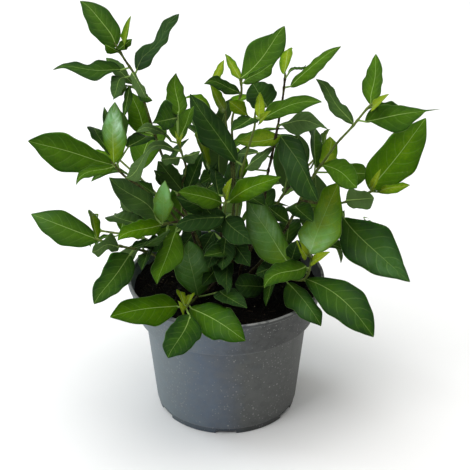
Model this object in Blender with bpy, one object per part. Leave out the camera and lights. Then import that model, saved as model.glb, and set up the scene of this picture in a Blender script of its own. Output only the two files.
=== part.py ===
"""A potted laurustinus: a grey nursery pot filled with soil, and the leafy stems that stand in it.

Metres in Blender, +Z up, with the origin at the middle of the pot's underside. Sizes below are in
millimetres. The front is -Y. Each stem and leaf that the photograph shows is placed by a sighting: a
point of the 470 by 470 picture, and how far it stands behind (+) or before (-) the pot's axis.
"""

import math
import random
from dataclasses import dataclass, field

import bmesh
import bpy
from mathutils import Matrix, Vector

MM = 0.001

# Driving sizes of the pot
POT_HEIGHT = 124.0
RIM_RADIUS = 85.0
COLLAR_HEIGHT = 33.0
COLLAR_FOOT_RADIUS = 77.0
BODY_TOP_RADIUS = 71.0
BASE_RADIUS = 61.0
WALL = 1.6
RIM_LIP = 2.8
RIM_LIP_HEIGHT = 3.0
FOOT_HEIGHT = 6.0
FOOT_STEP = 1.4
FOOT_RING = 4.0
PAD_RADIUS = 24.0
PAD_SLOPE = 3.0
LIP_STEP = 0.9
FLOOR_LIFT = 4.0
FLOOR_THICKNESS = 2.0
NOTCH_COUNT = 6
NOTCH_WIDTH = 18.0
NOTCH_HEIGHT = 3.0
DRAIN_COUNT = 6
DRAIN_RADIUS = 5.0
DRAIN_CIRCLE_RADIUS = 40.0
POT_SIDES = 40
DRAIN_SIDES = 10

# Driving sizes of the soil
SOIL_BELOW_RIM = 11.0
SOIL_DOME = 3.0
SOIL_BUMP = 1.2
SOIL_RINGS = 5
SOIL_SIDES = 20
FIT_GAP = 0.3
HOLE_BOTTOM = 25.0
HOLE_SIDES = 8
CLEAR_OF_SOIL = 4.0

# Driving sizes of the stems and leaves
STEM_SIDES = 5
STEM_SPACING = 16.0
PETIOLE_RADIUS = 0.8
ROOT_RADIUS = 0.45
STAGGER = 0.37
RIB_THICKNESS = 1.4
TIP_WIDTH = 1.2
BLADE_STATIONS = (0.0, 0.14, 0.36, 0.6, 0.83, 1.0)
WIDTH_TO_LENGTH = 0.47
LIFT_SHARE = 0.8
LEAST_SHOWN = 0.5
REAR_THICK = (2.2, 1.3)
REAR_SAG = 10.0

# How the picture was taken: the point that the camera looks at, its distance from it, its height
# angle, and the length of its lens in pixels of the picture
PICTURE_MIDDLE = 235.0
LOOK_AT = Vector((7.7, 0.0, 163.0))
CAMERA_DISTANCE = 1100.0
CAMERA_TILT = math.radians(27.9)
LENS_PIXELS = 1292.0
FORWARD = Vector((0.0, math.cos(CAMERA_TILT), -math.sin(CAMERA_TILT)))
UPWARD = Vector((0.0, math.sin(CAMERA_TILT), math.cos(CAMERA_TILT)))
CAMERA = LOOK_AT - CAMERA_DISTANCE * FORWARD


@dataclass
class Leaf:
    """One leaf: where the picture shows its blade's base and tip, and its real size and set."""

    base: tuple
    tip: tuple
    length: float
    seen: float
    near: bool = False
    down: bool = False
    under: bool = False
    arch: float = 4.0
    bend: float = 0.0
    fold: float = 12.0
    push: float = 0.0
    width: float = 0.0


@dataclass
class Twig:
    """A stem or branch: its route as sightings (across, down, depth), and its leaves."""

    route: list
    thick: tuple
    leaves: list = field(default_factory=list)


@dataclass
class LeafyStem:
    """One plant stem that stands in the soil: its foot there, its main twig and its branches."""

    name: str
    foot: tuple
    twigs: list


def sight(across, down, depth):
    """The point at the given depth on the line of sight through a point of the picture."""
    ray = (FORWARD + Vector((1.0, 0.0, 0.0)) * ((across - PICTURE_MIDDLE) / LENS_PIXELS)
           + UPWARD * ((PICTURE_MIDDLE - down) / LENS_PIXELS))
    return CAMERA + ray * ((depth - CAMERA.y) / ray.y)


STEMS = [
    LeafyStem("stem_top_left", (-10.0, 6.0), [
        Twig([(196, 236, 0), (180, 200, 4), (163, 158, 8), (150, 120, 12), (136, 77, 16),
              (125, 60, 18), (117, 47, 20)], (2.2, 1.3), [
            Leaf((116, 47), (80, 1), 52, 27, arch=3, width=27),
            Leaf((124.5, 42), (131, 16), 34, 7, width=15, near=True),
            Leaf((116, 47), (132, 38), 42, 12, near=True, width=17),
            Leaf((115, 50), (103, 52), 26, 8, near=True, width=12),
            Leaf((121, 70), (53, 70), 66, 18, arch=8),
            Leaf((131, 74), (106, 58), 46, 12, arch=6, width=18),
            Leaf((138, 74), (179, 14), 68, 18, arch=6),
            Leaf((123, 78), (114, 99), 42, 14, near=True, width=20),
            Leaf((138, 81), (153, 100), 40, 15, near=True, width=20),
            Leaf((139, 98), (136, 132), 52, 22, near=True),
        ]),
        Twig([(178, 196, 4), (186, 168, -2), (181, 151, -6), (178, 139, -8)], (1.6, 1.3), [
            Leaf((178, 115), (176, 73), 50, 22, push=-4),
            Leaf((178, 118), (152, 123), 44, 22, near=True, width=24),
            Leaf((178, 138), (195, 105), 44, 20, fold=24),
            Leaf((182, 156), (199, 162), 40, 17, near=True, width=20),
            Leaf((180, 158), (160, 176), 42, 18, near=True, width=22),
            Leaf((175, 150), (126, 178), 62, 15, near=True, arch=9, width=24),
            Leaf((172, 142), (136, 132), 52, 10, near=True, arch=8, width=20),
        ]),
    ]),
    LeafyStem("stem_left", (-15.0, -4.0), [
        Twig([(196, 245, -12), (184, 217, -16), (150, 192, -20), (127, 178, -22),
              (114, 165, -24)], (2.0, 1.3), [
            Leaf((114, 163), (115, 102), 60, 24, arch=3),
            Leaf((113, 165), (28, 141), 78, 38, near=True, arch=5, width=36),
            Leaf((114, 166), (76, 185), 52, 12, near=True, arch=5, width=20),
            Leaf((116, 160), (95, 128), 50, 16, push=6),
            Leaf((127, 147), (145, 136), 40, 16, push=10, width=19),
            Leaf((151, 190), (136, 181), 34, 10, near=True, width=17),
        ]),
        Twig([(187, 222, -16), (175, 222, -26), (161, 225, -36)], (1.6, 1.3), [
            Leaf((161, 225), (117.5, 240.5), 54, 16, near=True, arch=5),
            Leaf((156, 219), (109, 177.5), 64, 26, arch=4),
            Leaf((162.6, 222), (165, 180.6), 46, 19, arch=3),
            Leaf((145, 225), (115, 215), 50, 16, push=-2),
            Leaf((175.7, 231.4), (157, 284), 58, 28, near=True, arch=5, width=30),
        ]),
    ]),
    LeafyStem("stem_low_left", (-18.0, -13.0), [
        Twig([(172, 266, -34), (146, 251.5, -44), (120, 246, -50), (98.6, 240, -54)],
             (2.0, 1.3), [
            Leaf((98.6, 240), (31, 214), 68, 32, arch=4),
            Leaf((98.6, 240), (95.4, 214.6), 38, 10, width=15),
            Leaf((119, 247), (92, 252), 44, 20, near=True, arch=6, width=23),
            Leaf((130, 254.5), (94, 304), 62, 30, near=True, arch=5, width=31),
            Leaf((146, 254), (142, 270), 32, 13, near=True, width=16),
            Leaf((143, 247), (170, 229), 44, 8, near=True, width=19, down=True),
        ]),
    ]),
    LeafyStem("stem_front", (-5.0, -4.0), [
        Twig([(198, 297, -36), (190, 303, -50), (185, 308, -62)], (2.6, 1.5), [
            Leaf((178, 306), (110, 317), 66, 32, near=True, arch=9, width=31),
            Leaf((190, 308), (245.5, 341), 62, 30, near=True, arch=9, width=30),
            Leaf((190, 315), (168, 358), 52, 29, near=True, arch=5, push=-16, width=29),
            Leaf((198, 295.5), (189, 241), 51, 37, near=True, width=34),
            Leaf((184, 305), (181, 293), 20, 8, width=9),
            Leaf((187, 306), (190, 297), 18, 7, width=8),
            Leaf((183, 309), (178, 301), 16, 7, width=8, near=True),
            Leaf((220, 291), (247, 308), 38, 18, near=True, width=20, push=-10),
        ]),
    ]),
    LeafyStem("stem_center", (1.0, -14.0), [
        Twig([(225, 250, -16), (224, 217, -14), (226, 203, -14), (224, 193, -14)], (1.8, 1.3), [
            Leaf((229, 202), (281, 177), 58, 22, near=True, arch=4),
            Leaf((222, 203), (178, 192), 54, 22, near=True, arch=4),
            Leaf((219, 196), (216, 170), 30, 14, width=18),
            Leaf((224, 217), (176, 226), 50, 18, near=True, push=-6),
            Leaf((225, 219), (253, 244), 46, 26, near=True, width=27),
            Leaf((226, 193), (232, 178), 26, 8, width=11, near=True),
            Leaf((221, 258), (227, 295), 52, 26, near=True, width=27, push=-4),
            Leaf((226, 250), (204, 256), 40, 16, near=True, width=19),
        ]),
    ]),
    LeafyStem("stem_top", (4.0, 3.0), [
        Twig([(236, 222, 6), (242, 172, 10), (254.5, 127, 12), (255, 116, 12)], (2.1, 1.3), [
            Leaf((259, 118), (260, 92), 34, 13, width=14),
            Leaf((262, 118), (271, 111), 24, 8, near=True, width=10),
            Leaf((262, 120), (322, 102), 58, 24, near=True, arch=6),
            Leaf((251, 118), (229, 101), 36, 14, near=True, width=16),
            Leaf((250, 118), (231, 131), 34, 15, near=True, width=17),
            Leaf((236.5, 162), (190, 94), 76, 33, arch=4, width=35),
            Leaf((243, 190), (265, 206), 46, 20, near=True, push=4),
        ]),
        Twig([(240, 205, 7), (222, 186, 20), (209, 168, 28)], (1.6, 1.3), [
            Leaf((209, 166), (199, 133), 42, 10, width=15),
            Leaf((214, 174), (200, 184), 34, 16, near=True, width=18, push=6),
        ]),
    ]),
    LeafyStem("stem_top_back", (-2.0, 14.0), [
        Twig([(234, 200, 26), (232, 129, 36), (233, 115, 38), (241, 94, 40), (241, 82, 40)],
             (2.2, 1.3), [
            Leaf((241, 78), (284.5, 26), 66, 33, arch=4, width=34),
            Leaf((243, 83), (272.5, 64), 46, 16, near=True, fold=24),
            Leaf((240, 79), (225, 54), 38, 11, width=14),
            Leaf((240, 93), (204, 84), 52, 16, near=True, arch=5, width=22),
        ]),
        Twig([(234, 200, 26), (230, 150, 44), (226, 123, 54), (225, 112, 56), (213, 90, 57)], (1.6, 1.3), [
            Leaf((225, 110.5), (210, 84), 36, 11, near=True, width=13),
            Leaf((211, 86), (224, 60), 38, 12, width=14, arch=3),
        ]),
    ]),
    LeafyStem("stem_top_right", (12.0, 10.0), [
        Twig([(262, 210, 20), (268, 172, 24), (271, 160, 25), (278, 125, 27), (283, 96, 28),
              (285, 78, 28)], (2.1, 1.3), [
            Leaf((284, 74), (287, 50), 34, 12, width=14),
            Leaf((288, 73), (306, 65), 34, 6, near=True, width=12, arch=5),
            Leaf((290.5, 87), (341, 46.5), 60, 16, arch=5, width=24),
            Leaf((267, 107), (255, 87), 48, 30, push=6, width=28),
            Leaf((278.5, 125), (329, 130), 56, 20, near=True, arch=9, width=24),
            Leaf((281, 135), (236, 141), 52, 18, arch=5, width=22),
            Leaf((245.5, 169), (279, 143), 46, 12, push=-14, width=19),
            Leaf((258, 152), (240, 153), 20, 8, width=12),
            Leaf((281, 137), (318, 190), 70, 33, near=True, arch=5, width=34),
        ]),
    ]),
    LeafyStem("stem_right", (18.0, 0.0), [
        Twig([(284, 232, 4), (300, 200, 8), (316, 172, 10), (321, 165, 9), (338, 142, 6),
              (352, 127, 4), (365, 111, 2), (371, 105, 0)], (2.2, 1.3), [
            Leaf((321, 161), (328.6, 136), 36, 17, width=17),
            Leaf((353, 124), (316, 79), 60, 16, width=25),
            Leaf((371, 105), (376, 54), 56, 21, width=25),
            Leaf((373, 106), (389, 94), 26, 8, width=11, near=True),
            Leaf((373, 106), (441, 109), 64, 12, fold=20, width=24, push=6),
            Leaf((365, 122), (430, 108), 62, 25, near=True, arch=6, width=28),
            Leaf((316, 168), (316, 129), 48, 14, push=6, width=22),
            Leaf((323, 165), (357, 188), 56, 32, near=True, width=31),
            Leaf((336, 172), (369, 174), 42, 20, width=22, push=12),
            Leaf((296, 206), (313, 222), 42, 20, near=True, width=20),
            Leaf((288, 222), (269, 207), 30, 18, width=17),
        ]),
        Twig([(300, 200, 8), (330, 205, 10), (352, 200, 4), (372, 191, -4)], (1.6, 1.3), [
            Leaf((370, 190), (426, 118), 80, 42, arch=4, width=38),
            Leaf((371, 189), (381, 169), 24, 7, width=9, near=True),
            Leaf((377, 192), (410, 185), 34, 11, near=True, width=15),
            Leaf((346, 201), (374, 198), 40, 20, near=True, under=True, push=-6, width=24),
            Leaf((343.7, 218), (410, 282), 76, 46, near=True, arch=6, width=40, push=-6),
        ]),
    ]),
    LeafyStem("stem_low_right", (15.0, -12.0), [
        Twig([(272, 278, -22), (305, 279, -34), (311, 262, -34), (309, 254, -34)],
             (2.0, 1.3), [
            Leaf((310, 254), (339, 182.5), 71, 35, arch=3, width=34),
            Leaf((307, 256), (296, 240), 24, 9, width=10, near=True),
            Leaf((312, 261), (330, 252), 26, 9, width=11, near=True),
            Leaf((306, 266), (264, 288), 52, 18, near=True, width=25),
            Leaf((306, 279), (373.6, 337), 78, 34, near=True, arch=6, width=34),
            Leaf((288, 283), (321, 326), 54, 24, near=True, arch=6, width=27),
            Leaf((264, 286), (235, 284), 38, 22, near=True, width=23),
            Leaf((270, 285), (266, 306), 32, 10, near=True, width=14),
            Leaf((289, 263), (246, 196), 72, 38, arch=3, width=36, push=-8),
        ]),
    ]),
]


@dataclass
class RearStem:
    """A stem behind the ones that the photograph shows: its foot, its tip and its leaf pairs."""

    name: str
    foot: tuple
    tip: tuple
    pairs: int
    seed: int


# Stems that the photograph hides: feet in the soil, and tips as (right, back, up)
REAR_STEMS = [
    RearStem("stem_rear_left", (-14.0, 15.0), (-98.0, 68.0, 206.0), 3, 1),
    RearStem("stem_rear_low_left", (-22.0, 6.0), (-114.0, 52.0, 140.0), 3, 5),
    RearStem("stem_rear", (-4.0, 23.0), (-8.0, 108.0, 226.0), 4, 2),
    RearStem("stem_rear_low", (5.0, 30.0), (8.0, 126.0, 144.0), 3, 4),
    RearStem("stem_rear_right", (13.0, 21.0), (86.0, 92.0, 200.0), 3, 3),
    RearStem("stem_rear_low_right", (23.0, 11.0), (122.0, 58.0, 140.0), 3, 8),
]
PAIR_START = 0.42
REAR_LEAF_LENGTH = 62.0
PETIOLE_LENGTH = 7.0


@dataclass
class Blade:
    """A leaf in the round: the stem point that its stalk leaves, its midrib and its upper face."""

    root: Vector
    base: Vector
    tip: Vector
    face: Vector
    width: float
    arch: float
    bow: float
    fold: float
    lean: float = 0.0


def smooth_route(points, spacing):
    """Points about one spacing apart on a smooth curve through the given ones."""
    ends = [2 * points[0] - points[1]] + points + [2 * points[-1] - points[-2]]
    route = []
    for before, start, end, after in zip(ends, ends[1:], ends[2:], ends[3:]):
        steps = max(1, round((end - start).length / spacing))
        for step in range(steps):
            t = step / steps
            route.append(0.5 * (2 * start + (end - before) * t
                                + (2 * before - 5 * start + 4 * end - after) * t ** 2
                                + (3 * start - before - 3 * end + after) * t ** 3))
    return route + [points[-1]]


def stalk_root(route, point, order):
    """Where a leaf stalk leaves a route: nearest to the point, a little lower for each leaf."""
    best, heading = route[0], Vector((0.0, 0.0, 1.0))
    for start, end in zip(route, route[1:]):
        span = end - start
        share = max(0.0, min(1.0, (point - start).dot(span) / span.length_squared))
        candidate = start + share * span
        if (candidate - point).length <= (best - point).length:
            best, heading = candidate, span.normalized()
    return best - STAGGER * (order + 1) * heading


def depth_beside(route, across, down):
    """The depth of the sighted route where it passes nearest to a point of the picture."""
    best_gap, best_depth = None, 0.0
    for start, end in zip(route, route[1:]):
        for step in range(11):
            share = step / 10
            here = [a + share * (b - a) for a, b in zip(start, end)]
            gap = math.hypot(here[0] - across, here[1] - down)
            if best_gap is None or gap < best_gap:
                best_gap, best_depth = gap, here[2]
    return best_depth


def sighted_blade(leaf, order, twig, centreline):
    """Work out a leaf in the round from its sighting, its real length and the width it shows."""
    depth = depth_beside(twig.route, *leaf.base) + leaf.push
    base = sight(*leaf.base, depth)
    ray = (sight(*leaf.tip, depth) - CAMERA).normalized()
    along = (base - CAMERA).dot(ray)
    miss = (CAMERA + along * ray - base).length
    reach = math.sqrt(max(0.0, leaf.length ** 2 - miss ** 2))
    tip = CAMERA + ray * (along - reach if leaf.near else along + reach)
    chord = (tip - base).normalized()
    view = (CAMERA - (base + tip) / 2).normalized()
    facing = (view - view.dot(chord) * chord).normalized()
    width = leaf.width or WIDTH_TO_LENGTH * (tip - base).length
    seen = leaf.seen * along / LENS_PIXELS
    turn = math.acos(min(1.0, seen / width))
    turned = [Matrix.Rotation(sign * turn, 3, chord) @ facing for sign in (1, -1)]
    face = min(turned, key=lambda n: n.z) if leaf.down else max(turned, key=lambda n: n.z)
    if leaf.under:
        face = -face
    side = face.cross(chord)
    across = view.cross(chord).normalized()
    shown = side.dot(across)
    shown = math.copysign(max(LEAST_SHOWN, abs(shown)), shown)
    return Blade(stalk_root(centreline, base, order), base, tip, face, width, leaf.arch,
                 leaf.bend / shown, leaf.fold, face.dot(across) / shown)


def rear_blades(stem, centreline):
    """Opposite pairs of leaves, each pair a quarter turn from the last, and a pair at the tip."""
    draw = random.Random(stem.seed)
    blades = []
    for pair in range(stem.pairs + 1):
        share = PAIR_START + (1.0 - PAIR_START) * pair / stem.pairs
        place = share * (len(centreline) - 1)
        index = min(int(place), len(centreline) - 2)
        node = centreline[index].lerp(centreline[index + 1], place - index)
        rise = (centreline[index + 1] - centreline[index]).normalized()
        across = rise.cross(Vector((0.0, 0.0, 1.0))).normalized()
        turn = math.radians(90.0 * (pair % 2) + draw.uniform(-22.0, 22.0))
        across = Matrix.Rotation(turn, 3, rise) @ across
        size = 1.0 - 0.35 * (pair == stem.pairs) - 0.12 * (pair == 0)
        for side in (1, -1):
            heading = (side * across + draw.uniform(0.35, 0.75) * rise
                       + Vector((0.0, 0.0, draw.uniform(0.0, 0.25)))).normalized()
            length = REAR_LEAF_LENGTH * size * draw.uniform(0.88, 1.12)
            base = node + PETIOLE_LENGTH * heading
            tip = base + length * heading + Vector((0.0, 0.0, -0.14 * length))
            chord = (tip - base).normalized()
            upright = Vector((draw.uniform(-0.3, 0.3), draw.uniform(0.0, 0.5), 1.0))
            face = (upright - upright.dot(chord) * chord).normalized()
            root = stalk_root(centreline, node, len(blades))
            blades.append(Blade(root, base, tip, face, WIDTH_TO_LENGTH * length,
                                draw.uniform(4.0, 8.0), draw.uniform(-3.0, 3.0),
                                draw.uniform(8.0, 16.0)))
    return blades


def blade_width(t, width):
    """The width of a pointed oval blade at a share t of its length."""
    return max(2 * PETIOLE_RADIUS, width * math.sin(math.pi * t ** 0.88) ** 0.8)


def add_blade(mesh, blade):
    """Add a leaf as one closed body: a slim stalk, then a blade of four-cornered sections."""
    chord = (blade.tip - blade.base).normalized()
    face = (blade.face - blade.face.dot(chord) * chord).normalized()
    side = face.cross(chord)
    stalk = (blade.base - blade.root).normalized()
    stalk_side = (side - side.dot(stalk) * stalk).normalized()
    stalk_face = stalk.cross(stalk_side)
    rings = [[blade.root - ROOT_RADIUS * stalk_side, blade.root + ROOT_RADIUS * stalk_face,
              blade.root + ROOT_RADIUS * stalk_side, blade.root - ROOT_RADIUS * stalk_face]]
    for t in BLADE_STATIONS[:-1]:
        swell = 4.0 * t * (1.0 - t)
        half = blade_width(t, blade.width) / 2
        rise = (half - PETIOLE_RADIUS) * math.tan(math.radians(blade.fold))
        aside = blade.bow * swell - blade.lean * (blade.arch * swell + LIFT_SHARE * rise)
        middle = blade.base.lerp(blade.tip, t) + blade.arch * swell * face + aside * side
        lift = rise * face
        rings.append([middle - half * side + lift, middle + RIB_THICKNESS / 2 * face,
                      middle + half * side + lift, middle - RIB_THICKNESS / 2 * face])
    verts = [[mesh.verts.new(corner * MM) for corner in ring] for ring in rings]
    point = mesh.verts.new(blade.tip * MM)
    for near, far in zip(verts, verts[1:]):
        mesh.faces.new((near[0], far[1], far[0]))
        mesh.faces.new((near[0], near[1], far[1]))
        mesh.faces.new((near[0], far[0], far[3]))
        mesh.faces.new((near[0], far[3], near[3]))
        mesh.faces.new((near[2], far[2], far[1]))
        mesh.faces.new((near[2], far[1], near[1]))
        mesh.faces.new((near[2], far[3], far[2]))
        mesh.faces.new((near[2], near[3], far[3]))
    for corner in range(4):
        mesh.faces.new((verts[-1][corner], verts[-1][(corner + 1) % 4], point))
    mesh.faces.new((verts[0][0], verts[0][3], verts[0][1]))
    mesh.faces.new((verts[0][1], verts[0][3], verts[0][2]))


def add_stem(mesh, route, thick):
    """Add a tapered stem of few sides along a route, closed at both ends."""
    rings = []
    side = Vector((1.0, 0.0, 0.0))
    for index, point in enumerate(route):
        heading = (route[min(index + 1, len(route) - 1)] - route[max(index - 1, 0)]).normalized()
        side = (side - side.dot(heading) * heading).normalized()
        other = heading.cross(side)
        radius = thick[0] + (thick[1] - thick[0]) * index / (len(route) - 1)
        rings.append([mesh.verts.new((point + radius * (math.cos(angle) * side
                                                        + math.sin(angle) * other)) * MM)
                      for angle in (math.tau * corner / STEM_SIDES
                                    for corner in range(STEM_SIDES))])
    for near, far in zip(rings, rings[1:]):
        for corner in range(STEM_SIDES):
            after = (corner + 1) % STEM_SIDES
            mesh.faces.new((near[corner], near[after], far[after], far[corner]))
    mesh.faces.new(list(reversed(rings[0])))
    mesh.faces.new(rings[-1])


def new_object(name, mesh, material):
    """Make an object of a bmesh, with its faces pointing outwards."""
    bmesh.ops.triangulate(mesh, faces=[f for f in mesh.faces if len(f.verts) > 3])
    bmesh.ops.recalc_face_normals(mesh, faces=mesh.faces[:])
    data = bpy.data.meshes.new(name)
    mesh.to_mesh(data)
    mesh.free()
    data.materials.append(material)
    made = bpy.data.objects.new(name, data)
    bpy.context.collection.objects.link(made)
    return made


def make_material(name, colour, roughness):
    """A plain material of one colour and roughness."""
    material = bpy.data.materials.new(name)
    material.use_nodes = True
    shader = material.node_tree.nodes["Principled BSDF"]
    shader.inputs["Base Color"].default_value = (*colour, 1.0)
    shader.inputs["Roughness"].default_value = roughness
    shader.inputs["Metallic"].default_value = 0.0
    return material


def apply_boolean(target, tools, operation, solver):
    """Join the tools to the target, or cut them from it, in one step, and remove them."""
    group = bpy.data.collections.new("tools")
    for tool in tools:
        group.objects.link(tool)
    change = target.modifiers.new("join", "BOOLEAN")
    change.operation = operation
    change.operand_type = "COLLECTION"
    change.collection = group
    change.solver = solver
    shape = bpy.data.meshes.new_from_object(
        target.evaluated_get(bpy.context.evaluated_depsgraph_get()))
    target.modifiers.remove(change)
    target.data = shape
    for tool in tools:
        bpy.data.objects.remove(tool)
    bpy.data.collections.remove(group)


def keep_main_body(target):
    """Keep a joined solid's main surface: a sealed hollow is filled, and a scrap is dropped."""
    mesh = bmesh.new()
    mesh.from_mesh(target.data)
    left = dict.fromkeys(mesh.faces)
    bodies = []
    while left:
        reached = [left.popitem()[0]]
        for face in reached:
            for edge in face.edges:
                for other in edge.link_faces:
                    if other in left:
                        left.pop(other)
                        reached.append(other)
        bodies.append(reached)
    bodies.sort(key=len)
    bmesh.ops.delete(mesh, geom=[f for body in bodies[:-1] for f in body], context="FACES")
    mesh.to_mesh(target.data)
    mesh.free()


def pot_profile():
    """The pot's half section from the underside's middle, round the outside, to the floor's."""
    foot_top = FOOT_HEIGHT
    floor_top = FLOOR_LIFT + FLOOR_THICKNESS
    collar_foot = POT_HEIGHT - COLLAR_HEIGHT
    lip_foot = POT_HEIGHT - RIM_LIP_HEIGHT
    return [
        (0.0, 0.0), (PAD_RADIUS, 0.0), (PAD_RADIUS + PAD_SLOPE, FLOOR_LIFT),
        (BASE_RADIUS - FOOT_RING, FLOOR_LIFT), (BASE_RADIUS - FOOT_RING, 0.0),
        (BASE_RADIUS, 0.0), (BASE_RADIUS, foot_top), (BASE_RADIUS + FOOT_STEP, foot_top),
        (BODY_TOP_RADIUS, collar_foot), (COLLAR_FOOT_RADIUS, collar_foot),
        (RIM_RADIUS - LIP_STEP, lip_foot), (RIM_RADIUS, lip_foot), (RIM_RADIUS, POT_HEIGHT),
        (RIM_RADIUS - RIM_LIP, POT_HEIGHT),
        *inner_wall(0.0),
        (PAD_RADIUS + PAD_SLOPE, floor_top), (PAD_RADIUS, FLOOR_THICKNESS), (0.0, FLOOR_THICKNESS),
    ]


def inner_wall(gap):
    """The inner wall's corners from the collar down to the floor, drawn in by a gap."""
    ledge = POT_HEIGHT - COLLAR_HEIGHT + WALL
    floor_top = FLOOR_LIFT + FLOOR_THICKNESS
    return [(COLLAR_FOOT_RADIUS - WALL - gap, ledge + gap),
            (BODY_TOP_RADIUS - WALL - gap, ledge + gap),
            (BASE_RADIUS + FOOT_STEP - WALL - gap, floor_top + gap)]


def turn_profile(mesh, profile, sides):
    """Turn a half section about the Z axis; its ends on the axis become single points."""
    rings = []
    for radius, height in profile:
        if radius == 0.0:
            rings.append([mesh.verts.new((0.0, 0.0, height * MM))])
            continue
        rings.append([mesh.verts.new((radius * math.cos(math.tau * k / sides) * MM,
                                      radius * math.sin(math.tau * k / sides) * MM,
                                      height * MM)) for k in range(sides)])
    for near, far in zip(rings, rings[1:]):
        for k in range(sides):
            corners = [near[k % len(near)], near[(k + 1) % len(near)],
                       far[(k + 1) % len(far)], far[k % len(far)]]
            mesh.faces.new(list(dict.fromkeys(corners)))
    return rings


def add_cylinder(name, place, radius, bottom, top, sides, material):
    """A plain cylinder between two heights, used as a cutter."""
    mesh = bmesh.new()
    turn_profile(mesh, [(0.0, bottom), (radius, bottom), (radius, top), (0.0, top)], sides)
    bmesh.ops.translate(mesh, verts=mesh.verts[:], vec=(place[0] * MM, place[1] * MM, 0.0))
    return new_object(name, mesh, material)


def make_pot(material):
    """The pot: a turned wall with a collar, a floor with drain holes, and a notched foot ring."""
    mesh = bmesh.new()
    turn_profile(mesh, pot_profile(), POT_SIDES)
    pot = new_object("pot", mesh, material)
    cutters = []
    for k in range(DRAIN_COUNT):
        angle = math.tau * (k + 0.5) / DRAIN_COUNT - math.pi / 2
        place = (DRAIN_CIRCLE_RADIUS * math.cos(angle), DRAIN_CIRCLE_RADIUS * math.sin(angle))
        cutters.append(add_cylinder("drain", place, DRAIN_RADIUS, FLOOR_LIFT - 1.0,
                                    FLOOR_LIFT + FLOOR_THICKNESS + 1.0, DRAIN_SIDES, material))
    for k in range(NOTCH_COUNT):
        angle = math.tau * k / NOTCH_COUNT - math.pi / 2
        notch = bmesh.new()
        bmesh.ops.create_cube(notch, size=1.0)
        bmesh.ops.scale(notch, verts=notch.verts[:],
                        vec=(3 * FOOT_RING * MM, NOTCH_WIDTH * MM, 2 * NOTCH_HEIGHT * MM))
        bmesh.ops.translate(notch, verts=notch.verts[:],
                            vec=((BASE_RADIUS - FOOT_RING / 2) * MM, 0.0, 0.0))
        bmesh.ops.rotate(notch, verts=notch.verts[:], cent=(0.0, 0.0, 0.0),
                         matrix=Matrix.Rotation(angle, 3, "Z"))
        cutters.append(new_object("notch", notch, material))
    apply_boolean(pot, cutters, "DIFFERENCE", "EXACT")
    pot.data.shade_smooth()
    pot.data.set_sharp_from_angle(angle=math.radians(30.0))


def soil_height(x, y):
    """The height of the soil's surface: a low dome with small seeded lumps."""
    radius = math.hypot(x, y)
    dome = SOIL_DOME * (1.0 - (radius / RIM_RADIUS) ** 2)
    lumps = (math.sin(0.11 * x + 0.8) * math.cos(0.13 * y - 0.4)
             + 0.6 * math.sin(0.23 * x - 0.19 * y + 2.1))
    return POT_HEIGHT - SOIL_BELOW_RIM + dome + SOIL_BUMP * lumps


def make_soil(material, feet):
    """The soil: it fills the pot's inside, with a lumpy top and a plain hole for each stem."""
    level = POT_HEIGHT - SOIL_BELOW_RIM
    collar, ledge, floor = inner_wall(FIT_GAP)
    lip = (RIM_RADIUS - RIM_LIP - FIT_GAP, POT_HEIGHT)
    share = (level - collar[1]) / (lip[1] - collar[1])
    edge = collar[0] + share * (lip[0] - collar[0]) - FIT_GAP
    mesh = bmesh.new()
    profile = [(0.0, FLOOR_THICKNESS + FIT_GAP), (PAD_RADIUS - FIT_GAP, FLOOR_THICKNESS + FIT_GAP),
               (PAD_RADIUS + PAD_SLOPE - FIT_GAP, floor[1]), floor, ledge, collar, (edge, level)]
    profile += [(edge * (1.0 - ring / SOIL_RINGS), level) for ring in range(1, SOIL_RINGS + 1)]
    rings = turn_profile(mesh, profile, SOIL_SIDES)
    for ring in rings[-SOIL_RINGS:]:
        for vert in ring:
            vert.co.z = soil_height(vert.co.x / MM, vert.co.y / MM) * MM
    soil = new_object("soil", mesh, material)
    holes = [add_cylinder("hole", foot, radius, level - HOLE_BOTTOM, POT_HEIGHT, HOLE_SIDES,
                          material) for foot, radius in feet]
    apply_boolean(soil, holes, "DIFFERENCE", "EXACT")
    soil.data.shade_smooth()
    soil.data.set_sharp_from_angle(angle=math.radians(40.0))


def planted(foot, points):
    """A route that starts upright in its hole in the soil and then goes on through the points."""
    x, y = foot
    level = POT_HEIGHT - SOIL_BELOW_RIM
    upright = [Vector((x, y, level - HOLE_BOTTOM + FIT_GAP)),
               Vector((x, y, level + SOIL_DOME + CLEAR_OF_SOIL))]
    return upright[:1] + smooth_route([upright[1]] + points, STEM_SPACING)


def hole_radius(thick):
    """The hole's corner radius that keeps its flats one gap from the stem."""
    return (thick + FIT_GAP) / math.cos(math.pi / HOLE_SIDES)


def make_leafy_stem(name, twigs, material):
    """Join a stem, its branches and all its leaves in one solid."""
    pieces = []
    for route, thick, blades in twigs:
        mesh = bmesh.new()
        add_stem(mesh, route, thick)
        pieces.append(new_object(name, mesh, material))
        for blade in blades:
            mesh = bmesh.new()
            add_blade(mesh, blade)
            pieces.append(new_object("leaf", mesh, material))
    stem, *rest = pieces
    apply_boolean(stem, rest, "UNION", "MANIFOLD")
    keep_main_body(stem)


def sighted_twigs(stem):
    """The routes, thicknesses and blades of a stem that the photograph shows."""
    twigs = []
    for index, twig in enumerate(stem.twigs):
        points = [sight(*point) for point in twig.route]
        route = planted(stem.foot, points) if index == 0 else smooth_route(points, STEM_SPACING)
        blades = [sighted_blade(leaf, order, twig, route)
                  for order, leaf in enumerate(twig.leaves)]
        twigs.append((route, twig.thick, blades))
    return twigs


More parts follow.
